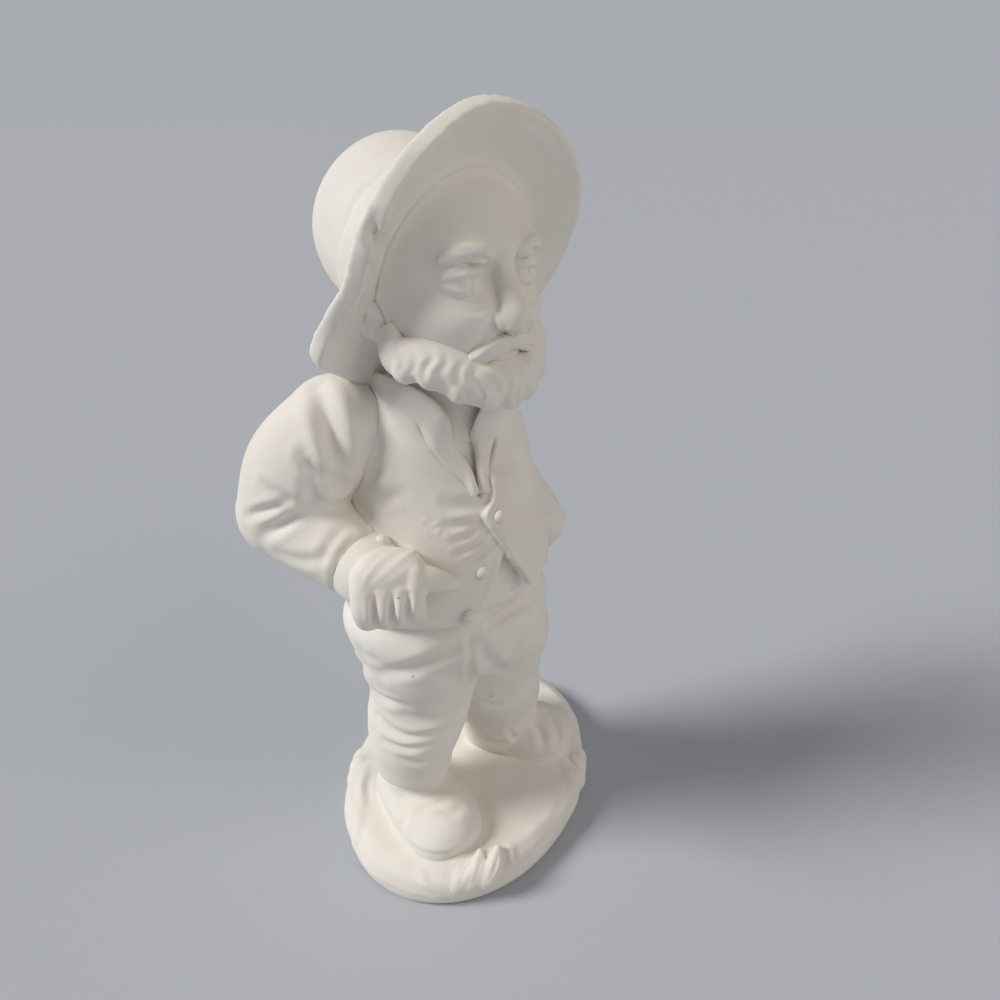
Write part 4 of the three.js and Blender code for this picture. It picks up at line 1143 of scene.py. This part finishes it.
# Ears
# Two small pressed ears, each a lump of the same clay with a rolled edge and a hollow.
# They are stuck to the sides of the head with slip, just below the brim.
for node, way in (("right_ear", -1), ("left_ear", 1)):
    clay = bmesh.new()
    seat = (way * head_width * 0.48, 3, -8)
    lump(clay, seat, (3, 4.2, 6), (-8, way * 8, way * -14))
    ear = pour(clay, voxel=0.35, rounds=4)
    out = seat[0] + way * 3.4
    tool(ear, [
        ([(out, 0.6, -3.4), (out, 4.4, -4.0), (out, 5.2, -8.0), (out, 2.6, -12.2)], 0.8, -0.7),
        ([(out, 1.6, -5.4), (out, 2.8, -8.0), (out, 1.6, -10.0)], 1.1, 0.9),
    ], laid_on)
    ear.transform(head_frame)
    fire(node, ear, [("head", 1.2), ("hat_brim", 1.0)])

# Beard, moustache and hair
# A short fringe along the jaw from ear to ear, smooth at the sides and in soft lobes at the chin,
# a moustache that sweeps down to it, and wavy hair round the back under the brim.
chin = -chin_drop + 1
beard_stops = mirrored([
    (-half * 0.93, -1, -9, 3.5, 2.2),
    (-half * 0.92, -5, -15, 5, 3.4),
    (-half * 0.72, -deep * 0.55, chin + 6, 5.6, 4.4),
    (-half * 0.38, -deep * 0.8, chin + 1.5, 5.8, 5),
    (0, -deep * 0.88, chin, 6, 5.2),
])
hair_stops = mirrored([
    (-half * 0.98, 7, -8, 4, 2.4),
    (-half * 0.82, deep * 0.55, -10, 5, 3),
    (-half * 0.4, deep * 0.86, -12, 5.5, 3.2),
])
moustache_stops = mirrored([
    (-10.5, -deep * 0.78, -16.6, 1, 1),
    (-6.5, -deep * 0.92, -13.4, 2.1, 2.2),
    (0, -deep * 1.0, -11.6, 2.0, 2.1),
])


def waves(stops, count, width, depth, swing, calm):
    """Wavy locks across a strip of hair, calmer towards its ends."""
    lines = []
    for k, (x, y, z, wide, thick) in enumerate(smooth_line(stops, count)):
        strength = 1 - calm * abs(2 * k / (count - 1) - 1)
        out = Vector((x, y, 0)).normalized()
        along = Vector((0, 0, 1)).cross(out)
        lines.append(([
            Vector((x, y, z)) + out * (thick * 1.2) + along * (swing * math.sin(1.9 * step + k))
            + Vector((0, 0, wide * (1.0 - step * 0.5)))
            for step in range(5)
        ], width, depth * strength * (0.8 + 0.3 * math.sin(2.3 * k))))
    return lines


clay = bmesh.new()
draw(clay, beard_stops, rows=70, sides=36, side=(0, 0, 1))
for k, (x, y, z, wide, thick) in enumerate(smooth_line(beard_stops, 13)):
    middle = 1 - abs(k - 6) / 6
    out = Vector((x, y, 0)).normalized()
    turn = math.degrees(math.atan2(out.x, -out.y))
    if middle > 0.3:
        low = Vector((x, y, z - wide * 0.34)) + out * (thick * 0.42)
        lump(clay, low, (3.5, 2.2 + middle * 1.4, wide * 0.76), (0, 14 * math.sin(2.1 * k), turn), fine=3)
    if middle > 0.55 and k % 2:
        high = Vector((x, y, z + wide * 0.42)) + out * (thick * 0.5)
        lump(clay, high, (3.0, 2.4, wide * 0.5), (0, -16 * math.sin(1.7 * k), turn), fine=3)
beard = pour(clay, voxel=0.4, rounds=9)
tool(beard, waves(beard_stops, 25, 0.8, 0.5, 1.3, 0.8), laid_on)
soften(beard, rounds=1)
beard.transform(head_frame)
fire("beard", beard, [("head", 1.6), ("neck", 1.5), ("right_ear", 1.0), ("left_ear", 1.0), ("hat_brim", 1.0)])

clay = bmesh.new()
draw(clay, moustache_stops, rows=50, sides=28, side=(0, 0, 1))
moustache = pour(clay, voxel=0.33, rounds=4)
strands = []
for way in (-1, 1):
    for rise in (-0.9, 0.0, 0.9):
        strands.append(([
            (way * 0.8, -deep * 1.1, -11.4 + rise),
            (way * 5.5, -deep * 1.04, -13.0 + rise),
            (way * 10.0, -deep * 0.86, -16.2 + rise * 0.5),
        ], 0.5, 0.55))
strands.append(([(0, -deep * 1.12, -9.6), (0, -deep * 1.12, -11.6), (0, -deep * 1.1, -13.4)], 0.45, 0.4))
tool(moustache, strands, laid_on)
moustache.transform(head_frame)
fire("moustache", moustache, [("head", 0.9), ("beard", 0.9)])

clay = bmesh.new()
draw(clay, hair_stops, rows=60, sides=32, side=(0, 0, 1))
for k, (x, y, z, wide, thick) in enumerate(smooth_line(hair_stops, 13)):
    out = Vector((x, y, 0)).normalized()
    turn = math.degrees(math.atan2(out.x, -out.y))
    low = Vector((x, y, z - wide * 0.3)) + out * (thick * 0.35)
    lump(clay, low, (3.0, 2.6, wide * 0.76), (0, 14 * math.sin(1.8 * k), turn), fine=3)
hair = pour(clay, voxel=0.42, rounds=5)
tool(hair, waves(hair_stops, 26, 0.8, 0.6, 1.2, 0.4), laid_on)
soften(hair, rounds=1)
hair.transform(head_frame)
fire("hair", hair, [("head", 1.4), ("hat_crown", 1.2), ("hat_brim", 1.2), ("right_ear", 1.0), ("left_ear", 1.0)])

# Grass
# Three tufts of broad blades, pressed by hand from the same clay and stuck on the slope of the
# mound's rim with slip. Each blade leans with its neighbours and has a soft midrib.
blade_width = 5.6
blade_spacing = 4.8
blade_rings = [(0.4, 0.24, 0.85, 0.0), (0.5, 0.3, 1.0, 0.2), (0.46, 0.28, 1.1, 0.6), (0.2, 0.2, 1.15, 1.0)]
rib_width = 0.6
rib_depth = 0.25
rim_climb = [(0.97, 0.2), (0.985, 0.5), (0.945, 0.73), (0.87, 0.83)]
tufts = [
    ("front_tuft", -60, (0.85, 1.05, 1.1), 3.4, 2.4, [(0.975, 0.36), (0.972, 0.6), (0.92, 0.83), (0.82, 0.96)]),
    ("side_tuft", 13, (0.9, 1.05, 0.95), 1.8, 3.4, rim_climb),
    ("back_tuft", -162, (0.9, 1.05, 0.95), 1.8, 3.4, rim_climb),
]


def rim_spot(out, reach, across):
    """A place on the mound, by angle, share of the way out to the rim and distance along the rim."""
    spot = Vector((
        math.sin(out) * base_length / 2 * reach + math.cos(out) * across,
        -math.cos(out) * base_depth / 2 * reach + math.sin(out) * across,
    ))
    return tuple(Matrix.Rotation(math.radians(base_turn), 2) @ spot)


for node, turn, heights, lean, wiped_over, climb in tufts:
    out = math.radians(turn)
    level = math.atan2(base_depth * math.sin(out), base_length * math.cos(out)) + math.radians(base_turn)
    across_rim = Vector((math.cos(level), math.sin(level), 0))
    above_blade = Vector((math.sin(level), -math.cos(level), 0)) * 3 + Vector((0, 0, 2))
    clay = bmesh.new()
    spread = len(heights) * blade_spacing / 2
    foot = climb[0][1]
    root = (*rim_spot(out, 0.945, 0), base_height * (foot + 0.25))
    lump(clay, root, (spread, blade_width * 0.42, blade_width * 0.7), (0, 0, math.degrees(level)))
    ribs = []
    for k, share in enumerate(heights):
        across = (k - (len(heights) - 1) / 2) * blade_spacing
        blade = []
        for (reach, rise), (wide, thick, fan, bend) in zip(climb, blade_rings):
            spot = rim_spot(out, reach, across * fan + lean * bend)
            height = base_height * (foot + (rise - foot) * share)
            blade.append((*spot, height, blade_width * wide, blade_width * thick))
        draw(clay, blade, sides=24, rows=24, side=across_rim)
        ribs.append(([Vector(ring[:3]) + above_blade for ring in blade[1:]], rib_width, rib_depth))
    tuft = pour(clay, voxel=0.32, rounds=9)
    tool(tuft, ribs, laid_on)
    fire(node, tuft, [("base_mound", wiped_over), ("left_boot", 1.0)])

# Slip
# The joints are filled with slip and wiped with a wet brush before the firing, so that the pieces
# run into each other without an edge. The deep creases are painted darker and warmer, as painted shade.
wipe_voxel = 0.5
wipe_rounds = 140
widest_wipe = 6.5
wipe_strength = 0.6
narrow_wipe = 1.4
skin_depth = 1.6
bare_depth = 0.6
shade_rounds = 12
shade_depth = 0.5
shade_start = 0.25
clay = bmesh.new()
for cast in fired.values():
    clay.from_mesh(cast)
whole = skinned(clay, wipe_voxel)
spots, outward = points_of(whole)
skins = {node: surface_of(cast) for node, cast in fired.items()}
boxes = {}
for node, cast in fired.items():
    corners = points_of(cast)[0]
    boxes[node] = (corners.min(0), corners.max(0))
give = np.zeros(len(spots))
for node, neighbour, reach in seams:
    low = np.maximum(boxes[node][0], boxes[neighbour][0]) - reach
    high = np.minimum(boxes[node][1], boxes[neighbour][1]) + reach
    for i in np.where(((spots > low) & (spots < high)).all(1))[0]:
        spot = Vector(spots[i])
        near = skins[node].find_nearest(spot, reach)[3]
        if near is None:
            continue
        far = skins[neighbour].find_nearest(spot, reach)[3]
        if far is not None:
            share = (1 - max(near, far) / reach) * min(1.0, (reach / widest_wipe) ** 2 * narrow_wipe)
            give[i] = max(give[i], wipe_strength * share)

pairs = np.empty(len(whole.edges) * 2, np.int32)
whole.edges.foreach_get("vertices", pairs)
pairs = pairs.reshape(-1, 2)
links = np.bincount(pairs.ravel(), minlength=len(spots)).clip(1)


def eased(points):
    """Every point moved to the middle of its neighbours."""
    total = np.empty_like(points)
    for axis in range(3):
        total[:, axis] = np.bincount(pairs[:, 0], points[pairs[:, 1], axis], len(points))
        total[:, axis] += np.bincount(pairs[:, 1], points[pairs[:, 0], axis], len(points))
    return total / links[:, None]


wiped = spots.copy()
for _ in range(wipe_rounds):
    wiped += (eased(wiped) - wiped) * give[:, None]
filled = wiped - spots
# Painted shade: how far each point lies below a smoothed copy of the skin sets how much its crease is darkened.
shade_eased = wiped.copy()
for _ in range(shade_rounds):
    shade_eased += (eased(shade_eased) - shade_eased) * 0.5
crease_darkening = np.clip(((shade_eased - wiped) * outward).sum(1) / shade_depth - shade_start, 0, 1)

move_points(whole, wiped)
wiped_outward = points_of(whole)[1]
blend = np.clip(give * 5, 0, 1)
lookup = KDTree(len(spots))
for i, spot in enumerate(spots):
    lookup.insert(spot, i)
lookup.balance()
for cast in fired.values():
    corners = points_of(cast)[0]
    painted_crease_shade = np.zeros(len(corners), np.float32)
    wet = np.zeros(len(corners))
    facing = np.zeros((len(corners), 3))
    for i, corner in enumerate(corners):
        found = lookup.find_n(corner, 4)
        shares = np.array([1 / (gap + 0.05) for _, _, gap in found])
        shares /= shares.sum()
        which = [k for _, k, _ in found]
        bare = min(1.0, max(0.0, (skin_depth - found[0][2]) / (skin_depth - bare_depth)))
        corners[i] += bare * (shares @ filled[which])
        painted_crease_shade[i] = shares @ crease_darkening[which]
        wet[i] = bare * (shares @ blend[which])
        facing[i] = shares @ wiped_outward[which]
    move_points(cast, corners)
    own = points_of(cast)[1]
    facing /= np.linalg.norm(facing, axis=1, keepdims=True).clip(1e-6)
    facing = own * (1 - wet[:, None]) + facing * wet[:, None]
    facing /= np.linalg.norm(facing, axis=1, keepdims=True).clip(1e-6)
    # The painted crease shade is stored on each piece for the material to darken it.
    cast.attributes.new("crease_shade", "FLOAT", "POINT").data.foreach_set("value", painted_crease_shade)
    cast.transform(Matrix.Scale(millimetre, 4))
    cast.normals_split_custom_set_from_vertices(facing)
bpy.data.meshes.remove(whole)

# Studio
# A plain pale floor of paper, a broad soft light on the camera's left, a weaker warm one on its right
# and an even pale surround, which the camera sees in the same tone as the floor.
floor_size = 30.0
floor_colour = (0.50, 0.53, 0.58, 1)
wall_colour = (0.393, 0.408, 0.436, 1)
sky_colour = (0.93, 0.95, 1.0, 1)
clay = bmesh.new()
bmesh.ops.create_grid(clay, x_segments=1, y_segments=1, size=floor_size)
floor_mesh = meshed(clay, "floor")
floor = placed("floor", floor_mesh)
paper = bpy.data.materials.new("paper")
paper.use_nodes = True
paper.node_tree.nodes["Principled BSDF"].inputs["Base Color"].default_value = floor_colour
paper.node_tree.nodes["Principled BSDF"].inputs["Roughness"].default_value = 0.9
floor_mesh.materials.append(paper)

lamps = [
    ("key", view_right * -0.9 + Vector((0.0, 0.0, 0.62)) - view_ahead * 0.2, 20.0, 2.4, (1.0, 0.98, 0.95)),
    ("fill", view_right * 0.75 + Vector((0.0, 0.0, 0.3)) - view_ahead * 0.45, 50.0, 0.7, (1.0, 0.9, 0.77)),
]
for name, spot, spread, power, colour in lamps:
    glow = bpy.data.lights.new(name, "SUN")
    glow.angle = math.radians(spread)
    glow.energy = power
    glow.color = colour
    lamp = placed(name, glow)
    lamp.location = spot
    lamp.rotation_mode = "QUATERNION"
    lamp.rotation_quaternion = (-spot).to_track_quat("-Z", "Y")

surround = bpy.data.worlds.new("surround")
surround.use_nodes = True
sky = surround.node_tree
sky.nodes["Background"].inputs["Color"].default_value = sky_colour
sky.nodes["Background"].inputs["Strength"].default_value = 0.22
wall = sky.nodes.new("ShaderNodeBackground")
wall.inputs["Color"].default_value = wall_colour
seen = sky.nodes.new("ShaderNodeLightPath")
either = sky.nodes.new("ShaderNodeMixShader")
sky.links.new(seen.outputs["Is Camera Ray"], either.inputs["Fac"])
sky.links.new(sky.nodes["Background"].outputs["Background"], either.inputs[1])
sky.links.new(wall.outputs["Background"], either.inputs[2])
sky.links.new(either.outputs["Shader"], sky.nodes["World Output"].inputs["Surface"])
bpy.context.scene.world = surround
bpy.context.scene.view_settings.view_transform = "Standard"
